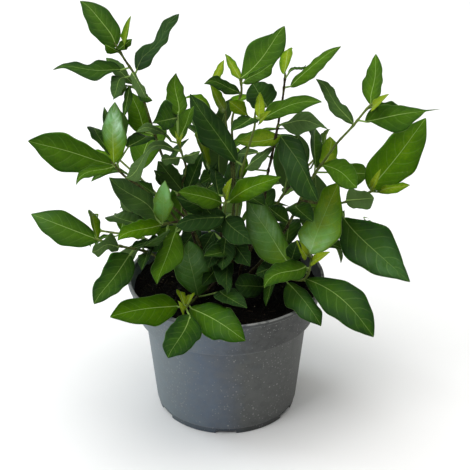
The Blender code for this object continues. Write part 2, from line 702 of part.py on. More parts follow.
def rear_twigs(stem):
    """The route, thickness and blades of a stem that the photograph hides."""
    foot = Vector((*stem.foot, POT_HEIGHT))
    tip = Vector(stem.tip)
    bend = foot.lerp(tip, 0.5) + REAR_SAG * Vector((0.0, 0.0, 1.0))
    route = planted(stem.foot, [bend, tip])
    return [(route, REAR_THICK, rear_blades(stem, route))]


def main():
    """Clear the scene and build the pot, the soil and every leafy stem."""
    for old in list(bpy.data.objects):
        bpy.data.objects.remove(old)
    plastic = make_material("pot_plastic", (0.16, 0.18, 0.20), 0.55)
    peat = make_material("soil_peat", (0.035, 0.028, 0.022), 0.95)
    foliage = make_material("laurustinus_leaf", (0.07, 0.16, 0.04), 0.35)
    make_pot(plastic)
    plants = [(stem.name, stem.foot, sighted_twigs(stem)) for stem in STEMS]
    plants += [(stem.name, stem.foot, rear_twigs(stem)) for stem in REAR_STEMS]
    make_soil(peat, [(foot, hole_radius(twigs[0][1][0])) for _, foot, twigs in plants])
    for name, _, twigs in plants:
        make_leafy_stem(name, twigs, foliage)


main()
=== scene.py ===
"""Looks of a potted laurustinus: fine leaves, twigs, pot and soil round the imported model.

Sizes are in millimetres until a mesh is written, which is in metres. The front is -Y. Leaves and
stems stand where sightings put them: a sighting is a point of the 470 by 470 picture and a depth,
how far the thing stands behind (+) or before (-) the pot's axis.
"""

from __future__ import annotations

import logging
import math
import random
from dataclasses import dataclass, field
from enum import Enum

import bpy
import numpy as np
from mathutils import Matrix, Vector


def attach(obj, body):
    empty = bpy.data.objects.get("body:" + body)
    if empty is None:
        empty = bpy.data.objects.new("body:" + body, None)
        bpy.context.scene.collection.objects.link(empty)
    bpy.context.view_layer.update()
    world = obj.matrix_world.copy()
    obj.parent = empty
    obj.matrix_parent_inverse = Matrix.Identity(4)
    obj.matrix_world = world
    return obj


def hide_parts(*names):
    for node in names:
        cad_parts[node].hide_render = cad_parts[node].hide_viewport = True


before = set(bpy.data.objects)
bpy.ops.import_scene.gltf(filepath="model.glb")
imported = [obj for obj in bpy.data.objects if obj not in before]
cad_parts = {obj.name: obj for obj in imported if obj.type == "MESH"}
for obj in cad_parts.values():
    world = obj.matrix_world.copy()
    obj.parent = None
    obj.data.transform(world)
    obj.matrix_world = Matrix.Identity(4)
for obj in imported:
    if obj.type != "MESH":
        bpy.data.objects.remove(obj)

LOG = logging.getLogger("laurustinus")
MM = 0.001
UP = np.array([0.0, 0.0, 1.0])

# How the picture was taken
PICTURE_SIZE = 470.0
PICTURE_MIDDLE = 235.0
LOOK_AT = np.array([7.7, 0.0, 163.0])
CAMERA_DISTANCE = 1100.0
CAMERA_TILT = math.radians(27.9)
LENS_PIXELS = 1292.0
SENSOR_WIDTH = 36.0
FORWARD = np.array([0.0, math.cos(CAMERA_TILT), -math.sin(CAMERA_TILT)])
UPWARD = np.array([0.0, math.sin(CAMERA_TILT), math.cos(CAMERA_TILT)])
ACROSS = np.array([1.0, 0.0, 0.0])
CAMERA = LOOK_AT - CAMERA_DISTANCE * FORWARD

# The pot's and the soil's sizes
POT_HEIGHT = 124.0
RIM_RADIUS = 85.0
COLLAR_HEIGHT = 33.0
COLLAR_FOOT_RADIUS = 77.0
BODY_TOP_RADIUS = 71.0
BASE_RADIUS = 61.0
WALL = 1.6
RIM_LIP = 2.8
RIM_LIP_HEIGHT = 3.0
LIP_STEP = 0.9
FOOT_HEIGHT = 6.0
FOOT_STEP = 1.4
FOOT_RING = 4.0
PAD_RADIUS = 24.0
PAD_SLOPE = 3.0
FLOOR_LIFT = 4.0
FLOOR_THICKNESS = 2.0
NOTCH_COUNT = 6
NOTCH_WIDTH = 18.0
NOTCH_HEIGHT = 3.0
SOIL_BELOW_RIM = 11.0
SOIL_DOME = 3.0
SOIL_BUMP = 1.2
FIT_GAP = 0.3
HOLE_BOTTOM = 25.0
CLEAR_OF_SOIL = 4.0
SOIL_LEVEL = POT_HEIGHT - SOIL_BELOW_RIM

# Rules that the leaves and stems follow
STEM_SPACING = 16.0
STAGGER = 0.37
PETIOLE_RADIUS = 0.8
WIDTH_TO_LENGTH = 0.47
LIFT_SHARE = 0.8
LEAST_SHOWN = 0.5
LEAST_SEEN = 0.5
REAR_THICK = (2.2, 1.3)
REAR_GREEN = (0.0, 0.8)
REAR_SAG = 10.0
PAIR_START = 0.42
REAR_LEAF_LENGTH = 62.0
PETIOLE_LENGTH = 7.0
QUARTERS = np.array([0.25, 0.5, 0.75])


class Tone(Enum):
    """A leaf's colour by its age: (age from pale to dark, how grey, how glossy)."""

    YOUNG = (0.0, 0.0, 0.5)
    FRESH = (0.22, 0.0, 0.8)
    BRIGHT = (0.42, 0.0, 1.0)
    MID = (0.62, 0.1, 0.8)
    DARK = (0.9, 0.15, 0.7)
    TEAL = (0.85, 0.5, 0.9)
    GREY = (0.6, 0.9, 0.35)
    SHEEN = (0.42, 0.1, 1.5)


@dataclass(frozen=True)
class Leaf:
    """One leaf: where the picture shows its blade's base and tip, and its real size and set."""

    base: tuple[float, float]
    tip: tuple[float, float]
    length: float
    seen: float
    near: bool = False
    down: bool = False
    under: bool = False
    arch: float = 4.0
    bend: float = 0.0
    fold: float = 12.0
    push: float = 0.0
    width: float = 0.0
    tone: Tone = Tone.MID
    shade: float = 0.0
    sheen: tuple[float, float, float] = (0.0, 0.5, 0.5)
    wave: float = 1.0
    curl: float = 0.0
    sway: float = 0.0
    twist: float = 0.0
    belly: float = 0.46
    full: float = 1.35
    tail: float = 0.3
    left: tuple[float, ...] = ()
    right: tuple[float, ...] = ()
    rib: tuple[float, ...] = (0.0, 0.0, 0.0)


@dataclass(frozen=True)
class Twig:
    """A stem or branch: its route as sightings (across, down, depth), and its leaves."""

    route: list[tuple[float, float, float]]
    thick: tuple[float, float]
    leaves: list[Leaf] = field(default_factory=list)
    green: tuple[float, float] = (0.0, 0.6)


@dataclass(frozen=True)
class LeafyStem:
    """One plant stem that stands in the soil: its foot there, its main twig and its branches."""

    name: str
    foot: tuple[float, float]
    twigs: list[Twig]


@dataclass(frozen=True)
class RearStem:
    """A stem behind the ones that the photograph shows: its foot, its tip and its leaf pairs.

    Some of its leaves, by their place in its list, are small by a factor, so that they stay
    hidden from the front.
    """

    name: str
    foot: tuple[float, float]
    tip: tuple[float, float, float]
    pairs: int
    seed: int
    small: dict[int, float] = field(default_factory=dict)


STEMS = [
    LeafyStem("stem_top_left", (-10.0, 6.0), [
        Twig([(196, 236, 0), (180, 200, 4), (163, 158, 8), (150, 120, 12), (136, 77, 16),
              (125, 60, 18), (117, 47, 20)], (2.2, 1.3), [
            Leaf((116, 47), (80, 1), 52, 27, arch=3, width=27, tone=Tone.DARK, shade=-0.12,
                 left=(9.5, 10.5, 6.5), right=(16, 16.5, 12.5), rib=(-4, -4, -3.5)),
            Leaf((124.5, 42), (131, 16), 34, 7, near=True, width=15, tone=Tone.FRESH, shade=0.08),
            Leaf((117, 51), (132, 39), 20, 9, near=True, arch=3, width=12, tone=Tone.MID,
                 shade=0.1, left=(4.5, 5.5, 3.5), right=(3, 5, 4)),
            Leaf((119, 52), (105, 44.5), 19, 8, near=True, arch=3, width=11, tone=Tone.MID,
                 shade=0.05, left=(4, 6.5, 6), right=(2, 2, 1)),
            Leaf((121, 70), (53, 70), 66, 18, arch=8, tone=Tone.DARK,
                 left=(7, 9, 0.5), right=(9.5, 7, 7.5), rib=(0.5, -0.5, -3.5)),
            Leaf((133, 84), (106, 58), 48, 13, arch=6, width=18, tone=Tone.TEAL, shade=-0.1,
                 left=(5, 6, 5), right=(4.5, 6.5, 6)),
            Leaf((136.5, 70), (179, 14), 68, 15, arch=6, fold=16, tone=Tone.DARK, shade=0.42,
                 sheen=(0.1, 0.5, 0.3), left=(10.5, 5.5, 7.5), right=(7.5, 6.5, 4), rib=(2, -1, 2)),
            Leaf((124, 77), (114, 98.5), 36, 16, near=True, width=20, tone=Tone.TEAL, shade=0.1,
                 left=(4, 5, 4), right=(11.5, 9.5, 6.5), rib=(-3, -2, -1)),
            Leaf((132, 72), (146, 98), 38, 9, near=True, width=16, tone=Tone.GREY, shade=0.2,
                 left=(2.5, 3, 3.5), right=(5, 6, 6)),
            Leaf((146, 133), (130, 92), 44, 19, width=22, tone=Tone.BRIGHT, shade=0.1,
                 left=(12, 11, 8.4), right=(9, 10, 8), rib=(0, -1, -0.5)),
            Leaf((127, 85), (113, 99.5), 26, 6, near=True, width=11, tone=Tone.MID,
                 shade=0.1, left=(3, 3.5, 2), right=(3, 3.5, 2.5)),
            Leaf((138, 92), (152.5, 100.5), 26, 7, near=True, width=12, tone=Tone.DARK,
                 left=(2, 2.5, 1.5), right=(5, 6, 5)),
            Leaf((130, 86), (124, 117), 34, 8, near=True, width=13, tone=Tone.MID,
                 shade=0.15, left=(4, 5, 3), right=(4, 4, 3)),
        ], green=(0.25, 0.55)),
        Twig([(178, 196, 4), (186, 168, -2), (181, 151, -6), (178, 139, -8)], (1.6, 1.3), [
            Leaf((178, 115), (176, 73), 50, 22, push=-4, tone=Tone.MID,
                 left=(10, 11.3, 8.5), right=(10, 8.3, 4.3), rib=(-1, 1, 2)),
            Leaf((178, 118), (152, 123), 44, 22, near=True, width=24, tone=Tone.DARK,
                 left=(8, 10, 4), right=(20, 17, 8)),
            Leaf((179, 141), (194, 106), 44, 17, fold=24, width=21, tone=Tone.MID, shade=0,
                 left=(15, 13.5, 8), right=(4, 4, 3), rib=(0, 0, 1)),
            Leaf((182, 157), (200, 151), 34, 9, near=True, width=16, tone=Tone.GREY, shade=0.15,
                 left=(1, 1, 1), right=(9, 9, 6), rib=(0, -1, -1)),
            Leaf((180, 157), (161, 160), 34, 9, near=True, width=16, tone=Tone.GREY, shade=0.15,
                 left=(8, 6, 6), right=(1, 3, 5)),
            Leaf((175, 150), (126, 178), 62, 15, near=True, arch=9, width=24, tone=Tone.GREY,
                 left=(-8.5, -7, 7), right=(18, 13.5, 9.5), rib=(-13, -10.5, -2)),
            Leaf((172, 142), (136, 132), 52, 10, near=True, arch=8, width=20, tone=Tone.GREY,
                 left=(-3.5, -4, -2.5), right=(7.5, 10.5, 12), rib=(-5.5, -7, -7)),
            Leaf((178, 141), (175, 131), 12, 4, width=5, near=True, tone=Tone.YOUNG),
            Leaf((180, 141), (183, 133), 11, 4, width=5, near=True, tone=Tone.YOUNG),
            Leaf((183, 192), (158, 161), 42, 18, near=True, width=21, tone=Tone.TEAL, shade=0.06,
                 left=(8, 11, 9), right=(7, 10, 8)),
            Leaf((187, 192), (203, 152), 44, 16, near=True, width=18, tone=Tone.DARK, shade=0.15,
                 left=(9, 11, 7), right=(5, 6, 4)),
            Leaf((172, 188), (154, 170), 40, 12, near=True, width=14, tone=Tone.TEAL, shade=0.08,
                 left=(5, 7, 4), right=(5, 7, 4)),
        ], green=(0.3, 0.8)),
    ]),
    LeafyStem("stem_left", (-15.0, -4.0), [
        Twig([(196, 245, -12), (184, 217, -16), (150, 192, -20), (127, 178, -22),
              (114, 165, -24)], (2.0, 1.3), [
            Leaf((114, 163), (115, 102), 60, 24, arch=3, tone=Tone.BRIGHT, shade=-0.04,
                 sheen=(2.6, 0.66, 0.24), left=(10.5, 12, 9.5), right=(11, 11.5, 8.2),
                 rib=(1, 1.5, 1.5)),
            Leaf((113, 165), (28, 141), 78, 38, near=True, arch=5, width=36, tone=Tone.MID,
                 left=(14, 20.5, 14), right=(11.5, 15.5, 15), rib=(0, -1, -0.5)),
            Leaf((114, 166), (76, 185), 52, 12, near=True, arch=5, width=20, tone=Tone.MID,
                 shade=-0.02, left=(4, 0.5, -2), right=(7, 10, 11), rib=(-1.5, -5, -6)),
            Leaf((116, 160), (95, 128), 50, 16, push=6, tone=Tone.DARK),
            Leaf((127, 147), (145, 136), 40, 16, push=10, width=19, tone=Tone.DARK),
            Leaf((151, 190), (136, 181), 34, 10, near=True, width=17, tone=Tone.DARK),
            Leaf((114, 150), (104, 107), 46, 9, push=34, width=15, tone=Tone.DARK, left=(4, 5, 4),
                 right=(4, 5, 4)),
        ], green=(0.0, 0.5)),
        Twig([(187, 222, -16), (175, 222, -26), (161, 225, -36)], (1.6, 1.3), [
            Leaf((161, 225), (117.5, 240.5), 54, 16, near=True, arch=5, tone=Tone.BRIGHT,
                 shade=0.1, left=(7.3, 5.2, 1.7), right=(10.5, 12, 12), rib=(-1, -3, -4)),
            Leaf((156, 219), (109, 177.5), 64, 26, arch=4, tone=Tone.TEAL, shade=0.05,
                 left=(9.3, 11.4, 8.5), right=(14.8, 18, 11.6), rib=(-5, -2.5, 0.5)),
            Leaf((162.6, 222), (165, 180.6), 46, 19, near=True, arch=3, push=-4, tone=Tone.BRIGHT,
                 shade=-0.22, sheen=(2.6, 0.65, 0.8), left=(9.4, 10.6, 7.2), right=(7.7, 8.4, 5.5)),
            Leaf((145, 225), (115, 215), 50, 16, push=-2, tone=Tone.TEAL),
            Leaf((175.7, 231.4), (157, 284), 58, 28, near=True, arch=5, width=30, tone=Tone.MID,
                 shade=-0.04, left=(14.3, 14, 6), right=(11, 10.3, 11.3), rib=(0, 0, -0.5)),
            Leaf((166, 240), (143, 247), 34, 12, near=True, width=14, tone=Tone.DARK, shade=0.2,
                 left=(6, 8, 5), right=(6, 8, 5)),
            Leaf((176, 232), (160, 256), 36, 13, push=20, width=15, tone=Tone.DARK, shade=0.2,
                 left=(6, 8, 5), right=(6, 8, 5)),
        ], green=(0.0, 0.8)),
    ]),
    LeafyStem("stem_low_left", (-18.0, -13.0), [
        Twig([(172, 266, -34), (146, 251.5, -44), (120, 246, -50), (98.6, 240, -54)],
             (2.0, 1.3), [
            Leaf((98.6, 240), (31, 214), 68, 32, arch=4, tone=Tone.MID, shade=0.1,
                 sheen=(0.4, 1.0, 0.3), left=(14.8, 18, 13), right=(11, 14.3, 10.6), rib=(0, 0, 0)),
            Leaf((97, 239), (93, 213), 34, 10, width=14, tone=Tone.BRIGHT, shade=-0.05),
            Leaf((119, 247), (92, 252), 44, 20, near=True, arch=6, width=23, tone=Tone.GREY,
                 left=(3, 2, 5.5), right=(15, 10, 7.5), rib=(-3, -4, -1)),
            Leaf((130, 254.5), (94, 304), 62, 30, near=True, arch=5, width=31, tone=Tone.DARK,
                 left=(15, 14.7, 9.8), right=(15.8, 13.7, 11), rib=(0.5, 0.5, -0.5)),
            Leaf((146, 254), (142, 270), 32, 13, near=True, width=16, tone=Tone.DARK),
            Leaf((143, 247), (170, 229), 44, 8, near=True, width=19, down=True, tone=Tone.TEAL),
        ], green=(0.1, 0.7)),
    ]),
    LeafyStem("stem_front", (-5.0, -4.0), [
        Twig([(198, 297, -36), (190, 303, -50), (185, 308, -62)], (2.6, 1.5), [
            Leaf((178, 306), (110, 317), 66, 32, near=True, arch=9, width=31, tone=Tone.BRIGHT,
                 shade=0.14, left=(14, 14.3, 9), right=(14.8, 15.2, 13.8), rib=(-1.5, -2.5, -2)),
            Leaf((190, 308), (245.5, 341), 62, 30, near=True, arch=9, width=30, tone=Tone.BRIGHT,
                 shade=0.3, sheen=(0.15, 0.5, 0.3), left=(15, 20, 15), right=(15.4, 15, 10.6),
                 rib=(2, 2.5, 1.5)),
            Leaf((190, 315), (168, 358), 52, 29, near=True, arch=5, push=-16, width=29,
                 tone=Tone.MID, shade=0.34, left=(19.7, 18.5, 12), right=(11.3, 12, 12),
                 rib=(2, 1.5, 0)),
            Leaf((198, 295.5), (189, 241), 51, 37, near=True, fold=8, width=34, tone=Tone.MID,
                 shade=0.0, sheen=(1.1, 0.6, 0.8), left=(15, 19, 14), right=(14.5, 16, 13),
                 rib=(1, 2, 3)),
            Leaf((184, 305), (181, 293), 20, 8, width=9, tone=Tone.YOUNG),
            Leaf((187, 306), (190, 297), 18, 7, width=8, tone=Tone.YOUNG),
            Leaf((183, 309), (178, 301), 16, 7, width=8, near=True, tone=Tone.YOUNG),
            Leaf((220, 291), (247, 308), 38, 18, near=True, push=-10, width=20, tone=Tone.DARK,
                 shade=0.15),
        ]),
    ]),
    LeafyStem("stem_center", (1.0, -14.0), [
        Twig([(225, 250, -16), (224, 217, -14), (226, 203, -14), (224, 193, -14)], (1.8, 1.3), [
            Leaf((229, 202), (281, 177), 58, 22, near=True, arch=4, tone=Tone.BRIGHT, shade=0.14,
                 left=(13, 14.5, 9.6), right=(6.5, 7.2, 5.5), rib=(3, 3.5, 2)),
            Leaf((222, 203), (178, 192), 54, 22, near=True, arch=4, tone=Tone.MID, shade=-0.02,
                 left=(8.8, 8.8, 5.6), right=(9.5, 10.7, 9), rib=(-1.5, -1.5, -1)),
            Leaf((219, 196), (216, 170), 30, 14, width=18, tone=Tone.DARK, shade=0.15),
            Leaf((224, 217), (176, 226), 50, 18, near=True, push=-6, tone=Tone.DARK, shade=0.3,
                 left=(10, 10, 8), right=(9, 9, 8), rib=(-1.5, -3, -3)),
            Leaf((225, 219), (253, 244), 46, 26, near=True, width=27, tone=Tone.DARK, shade=0.3,
                 left=(11, 9.5, 4.5), right=(14, 15, 9), rib=(-1.5, -1, 0)),
            Leaf((226, 193), (232, 178), 26, 8, width=11, near=True, tone=Tone.YOUNG),
            Leaf((221, 258), (227, 295), 52, 26, near=True, push=-4, width=27, tone=Tone.DARK,
                 shade=0.2, left=(10.5, 9, 6.5), right=(10.5, 8.5, 3), rib=(4.5, 2.5, 1)),
            Leaf((226, 250), (204, 256), 40, 16, near=True, width=19, tone=Tone.DARK),
            Leaf((222, 214), (176, 197), 48, 16, near=True, width=18, tone=Tone.DARK, shade=0.15,
                 left=(9, 11, 8), right=(7, 9, 7)),
            Leaf((226, 232), (203, 205), 40, 18, near=True, width=21, tone=Tone.DARK, shade=0.15,
                 left=(8, 10, 7), right=(8, 10, 7)),
            Leaf((226, 236), (222, 270), 38, 18, near=True, width=21, tone=Tone.DARK, shade=0.15,
                 left=(9, 11, 8), right=(9, 11, 8)),
            Leaf((222, 262), (202, 286), 36, 14, near=True, width=16, tone=Tone.DARK, shade=0.15,
                 left=(7, 9, 6), right=(7, 9, 6)),
            Leaf((214, 232), (197, 260), 40, 17, push=10, width=20, tone=Tone.DARK, shade=0.2,
                 left=(8, 10, 7), right=(8, 10, 7)),
            Leaf((231, 240), (250, 266), 40, 17, near=True, width=20, tone=Tone.DARK, shade=0.2,
                 left=(8, 10, 7), right=(8, 10, 7)),
            Leaf((200, 224), (181, 250), 40, 17, push=26, width=20, tone=Tone.DARK, shade=0.2,
                 left=(8, 10, 7), right=(8, 10, 7)),
            Leaf((218, 240), (208, 268), 36, 14, near=True, width=16, tone=Tone.DARK, shade=0.2,
                 left=(6, 8, 6), right=(7, 9, 6)),
        ], green=(0.5, 1.0)),
    ]),
    LeafyStem("stem_top", (4.0, 3.0), [
        Twig([(236, 222, 6), (242, 172, 10), (254.5, 127, 12), (255, 116, 12)], (2.1, 1.3), [
            Leaf((259, 118), (260, 92), 34, 13, width=14, tone=Tone.YOUNG,
                 left=(4.3, 4.8, 3), right=(5.7, 5.2, 3.5)),
            Leaf((262, 118), (271, 111), 24, 8, near=True, width=10, tone=Tone.YOUNG),
            Leaf((262, 120), (322, 102), 58, 24, near=True, arch=6, tone=Tone.MID,
                 left=(13.5, 14, 11.5), right=(3.4, 2.9, 1.5), rib=(4, 6, 5)),
            Leaf((251, 118), (229, 101), 36, 14, near=True, width=16, tone=Tone.FRESH,
                 left=(2, 6.5, 6), right=(3, 7.5, 7)),
            Leaf((250, 118), (231, 131), 34, 15, near=True, width=17, tone=Tone.DARK),
            Leaf((236.5, 162), (190, 94), 76, 33, arch=4, width=35, tone=Tone.DARK, shade=0.12,
                 left=(13, 17.8, 12.5), right=(10.4, 11.4, 8), rib=(0, 0.5, 1)),
            Leaf((243, 190), (265, 206), 46, 20, near=True, push=4, tone=Tone.DARK),
        ], green=(0.35, 1.0)),
        Twig([(240, 205, 7), (222, 186, 20), (209, 168, 28)], (1.6, 1.3), [
            Leaf((209, 166), (199, 133), 42, 10, width=15, tone=Tone.FRESH),
            Leaf((214, 174), (200, 184), 34, 16, near=True, width=18, push=6, tone=Tone.DARK),
            Leaf((206, 189), (218, 162), 34, 9, near=True, width=10, tone=Tone.DARK, shade=0.15,
                 left=(3, 5, 4), right=(3, 5, 4)),
        ], green=(0.5, 1.0)),
    ]),
    LeafyStem("stem_top_back", (-2.0, 14.0), [
        Twig([(234, 200, 26), (232, 129, 36), (233, 115, 38), (241, 94, 40), (241, 82, 40)],
             (2.2, 1.3), [
            Leaf((241, 78), (284.5, 26), 66, 33, arch=4, width=34, tone=Tone.MID, shade=0.08,
                 left=(10.6, 14, 7.5), right=(16, 18, 14.3), rib=(-3, -3, -1)),
            Leaf((243, 83), (272.5, 64), 46, 16, near=True, fold=24, tone=Tone.MID,
                 left=(3.3, 4, 3), right=(6, 8.5, 8.5), rib=(1, 0, 0)),
            Leaf((240, 79), (225, 54), 38, 11, width=14, tone=Tone.FRESH,
                 left=(4.3, 4.5, 2.5), right=(4.5, 5, 4)),
            Leaf((240, 93), (204, 84), 52, 16, near=True, arch=5, width=22, tone=Tone.DARK,
                 left=(4, 3.5, 0.5), right=(7, 10, 10.5), rib=(-1.5, -3.5, -5)),
        ], green=(0.3, 0.7)),
        Twig([(234, 200, 26), (230, 150, 44), (226, 123, 54), (225, 112, 56), (213, 90, 57)], (1.6, 1.3), [
            Leaf((225, 110.5), (210, 84), 36, 11, near=True, width=13, tone=Tone.FRESH),
            Leaf((211, 86), (224, 60), 38, 12, arch=3, width=14, tone=Tone.YOUNG, shade=0.14,
                 left=(2.5, 3.5, 3), right=(4, 5, 3.5)),
        ], green=(0.4, 0.8)),
    ]),
    LeafyStem("stem_top_right", (12.0, 10.0), [
        Twig([(262, 210, 20), (268, 172, 24), (271, 160, 25), (278, 125, 27), (283, 96, 28),
              (285, 78, 28)], (2.1, 1.3), [
            Leaf((284, 74), (287, 50), 34, 12, width=14, tone=Tone.FRESH),
            Leaf((288, 73), (306, 65), 34, 6, near=True, width=12, arch=5, tone=Tone.DARK,
                 left=(3.5, 2.7, 0), right=(0, 0.7, 2.5), rib=(1.7, 1, -1.2)),
            Leaf((290.5, 87), (341, 46.5), 60, 16, arch=5, width=24, tone=Tone.MID,
                 left=(6, 6.2, 6.6), right=(6.5, 6.5, 3.8), rib=(2, 2.5, 2.5)),
            Leaf((267, 107), (252.5, 83), 48, 30, push=6, width=28, tone=Tone.DARK,
                 left=(12.5, 13.7, 12), right=(15.5, 16, 13)),
            Leaf((278.5, 125), (329, 130), 56, 20, near=True, arch=9, width=24, tone=Tone.GREY,
                 left=(8.3, 15.8, 10.5), right=(6.6, 7.3, 0), rib=(4, 7, 4)),
            Leaf((281, 135), (236, 141), 52, 18, arch=5, width=22, tone=Tone.FRESH,
                 left=(10, 9, 7.3), right=(6, 8.7, 4.3), rib=(3, 3.5, 2)),
            Leaf((245.5, 169), (279, 143), 46, 12, push=-14, width=19, tone=Tone.GREY,
                 left=(3.6, 4.7, 3), right=(7.3, 5.6, 1.3), rib=(1, 0.5, 1)),
            Leaf((258, 152), (240, 153), 20, 8, width=12, tone=Tone.GREY),
            Leaf((281, 137), (317.5, 201), 74, 33, near=True, arch=5, width=34, tone=Tone.DARK,
                 shade=0.1, sheen=(0.3, 0.3, 0.25), left=(15.5, 10, 6), right=(11.5, 16, 15),
                 rib=(2, 3, 1.5)),
        ], green=(0.0, 0.3)),
    ]),
    LeafyStem("stem_right", (18.0, 0.0), [
        Twig([(284, 232, 4), (300, 200, 8), (316, 172, 10), (321, 165, 9), (338, 142, 6),
              (352, 127, 4), (365, 111, 2), (371, 105, 0)], (2.2, 1.3), [
            Leaf((321, 164), (330, 136.5), 36, 17, width=17, tone=Tone.FRESH, shade=-0.06,
                 left=(3, 3.7, 3.7), right=(13.5, 12.5, 10.5), rib=(-5, -4.5, -3.5)),
            Leaf((353, 124), (316, 79), 60, 16, width=25, tone=Tone.TEAL,
                 left=(7.5, 8.2, 3.8), right=(5.7, 5.2, 7.5), rib=(0.5, 0.5, -2)),
            Leaf((371, 105), (376, 54), 56, 21, width=25, tone=Tone.MID,
                 left=(9.6, 9.9, 6.2), right=(8.3, 9.5, 7.5), rib=(0.5, -1.3, -1)),
            Leaf((373, 106), (389, 94), 26, 8, width=11, near=True, tone=Tone.YOUNG),
            Leaf((373, 106), (404, 115.5), 44, 10, fold=20, push=6, width=24, tone=Tone.MID,
                 shade=0.1, left=(7, 9, 8), right=(3, 3, 2), rib=(0, 1, 1)),
            Leaf((365, 122), (440, 109), 68, 25, near=True, arch=6, width=28, tone=Tone.MID,
                 shade=0.1, left=(14, 10, 3.5), right=(11, 15, 3.5), rib=(0.8, 1.5, 0.5)),
            Leaf((316, 168), (316, 129), 48, 14, push=6, width=22, tone=Tone.DARK),
            Leaf((323, 165), (357, 188), 56, 32, near=True, width=31, tone=Tone.MID,
                 left=(14, 17, 13.5), right=(4.5, 8, 8), rib=(3, 4, 2)),
            Leaf((336, 172), (369, 174), 42, 20, width=22, push=12, tone=Tone.MID,
                 left=(10, 10.5, 9.5), right=(13, 14, 10)),
            Leaf((296, 206), (313, 222), 42, 20, near=True, width=20, tone=Tone.DARK),
            Leaf((288, 222), (269, 207), 30, 18, width=17, tone=Tone.DARK),
        ], green=(0.0, 1.0)),
        Twig([(300, 200, 8), (330, 205, 10), (352, 200, 4), (372, 191, -4)], (1.6, 1.3), [
            Leaf((370, 190), (426, 118), 80, 42, arch=4, width=38, tone=Tone.BRIGHT, shade=0.12,
                 left=(19, 18, 12), right=(18.5, 23, 16.8), rib=(-0.5, -1, -0.5)),
            Leaf((371, 189), (381, 169), 24, 7, width=9, near=True, tone=Tone.YOUNG),
            Leaf((377, 192), (410, 185), 34, 11, near=True, width=15, tone=Tone.FRESH,
                 left=(4.8, 4.6, 4.3), right=(4.2, 5.2, 3.2), rib=(1, 1, 0)),
            Leaf((346, 201), (374, 198), 40, 20, near=True, under=True, push=-6, width=24,
                 tone=Tone.GREY, shade=-0.3, left=(13, 9, 7), right=(8, 9.5, 11)),
            Leaf((343.7, 218), (410, 282), 76, 46, near=True, arch=6, push=-6, width=40,
                 tone=Tone.DARK, sheen=(0.7, 0.75, 0.3), left=(17, 22.5, 12.5),
                 right=(25, 25.3, 14.5), rib=(-2.4, -2, -1.2)),
        ], green=(0.3, 1.0)),
    ]),
    LeafyStem("stem_low_right", (15.0, -12.0), [
        Twig([(272, 278, -22), (305, 279, -34), (311, 262, -34), (309, 254, -34)],
             (2.0, 1.3), [
            Leaf((310, 254), (339, 182.5), 71, 35, arch=3, width=34, tone=Tone.BRIGHT, shade=-0.14,
                 sheen=(1.6, 0.12, 0.42), left=(18.5, 14, 13), right=(18.5, 19.2, 11),
                 rib=(1.3, 1.5, 1)),
            Leaf((307, 256), (296, 240), 24, 9, width=10, near=True, tone=Tone.YOUNG),
            Leaf((312, 261), (330, 252), 26, 9, width=11, near=True, tone=Tone.YOUNG),
            Leaf((306, 266), (264, 288), 52, 18, near=True, width=25, tone=Tone.MID, shade=0.05,
                 left=(9, 5, 1.2), right=(13, 15.5, 15), rib=(-1, -5, -6)),
            Leaf((306, 279), (373.6, 337), 78, 34, near=True, arch=6, width=34, tone=Tone.MID,
                 shade=0.28, sheen=(0.12, 0.5, 0.3), left=(19.5, 26, 22), right=(9, 13, 9),
                 rib=(6.5, 8, 5)),
            Leaf((288, 283), (321, 326), 54, 24, near=True, arch=6, width=27, tone=Tone.MID,
                 shade=0.2, sheen=(0.3, 0.5, 0.3), left=(8.6, 10.3, 9.9), right=(14, 13.6, 8.5),
                 rib=(1.5, 2, 1.5)),
            Leaf((264, 286), (235, 284), 38, 22, near=True, width=23, tone=Tone.DARK, shade=0.12,
                 left=(11.4, 12.7, 11.4), right=(10.6, 11, 11), rib=(1, 1, 1.5)),
            Leaf((270, 285), (266, 306), 32, 10, near=True, width=14, tone=Tone.DARK),
            Leaf((289, 263), (246, 196), 72, 38, arch=3, push=-8, width=36, tone=Tone.MID,
                 shade=-0.14, sheen=(1.3, 0.6, 0.35), left=(21.6, 21, 13),
                 right=(10.4, 12.4, 13.5), rib=(1, 1, 2)),
            Leaf((276, 266), (256, 274), 30, 13, near=True, width=15, tone=Tone.DARK, shade=0.2,
                 left=(6, 8, 6), right=(6, 8, 6)),
            Leaf((291, 262), (298, 240), 32, 14, near=True, width=16, tone=Tone.DARK, shade=0.2,
                 left=(7, 8, 6), right=(7, 8, 6)),
        ], green=(0.2, 0.9)),
    ]),
]

# Stems that the photograph hides: feet in the soil, and tips as (right, back, up)
REAR_STEMS = [
    RearStem("stem_rear_left", (-14.0, 15.0), (-98.0, 68.0, 206.0), 3, 1, {2: 0.6, 5: 0.6}),
    RearStem("stem_rear_low_left", (-22.0, 6.0), (-114.0, 52.0, 140.0), 3, 5,
             {1: 0.7, 2: 0.7, 4: 0.5, 5: 0.4, 6: 0.4, 7: 0.3}),
    RearStem("stem_rear", (-4.0, 23.0), (-8.0, 108.0, 226.0), 4, 2, {2: 0.7, 7: 0.7, 9: 0.7}),
    RearStem("stem_rear_low", (5.0, 30.0), (8.0, 126.0, 144.0), 3, 4),
    RearStem("stem_rear_right", (13.0, 21.0), (86.0, 92.0, 200.0), 3, 3,
             {4: 0.55, 6: 0.6, 7: 0.45}),
    RearStem("stem_rear_low_right", (23.0, 11.0), (122.0, 58.0, 140.0), 3, 8,
             {2: 0.55, 4: 0.7, 7: 0.12}),
]


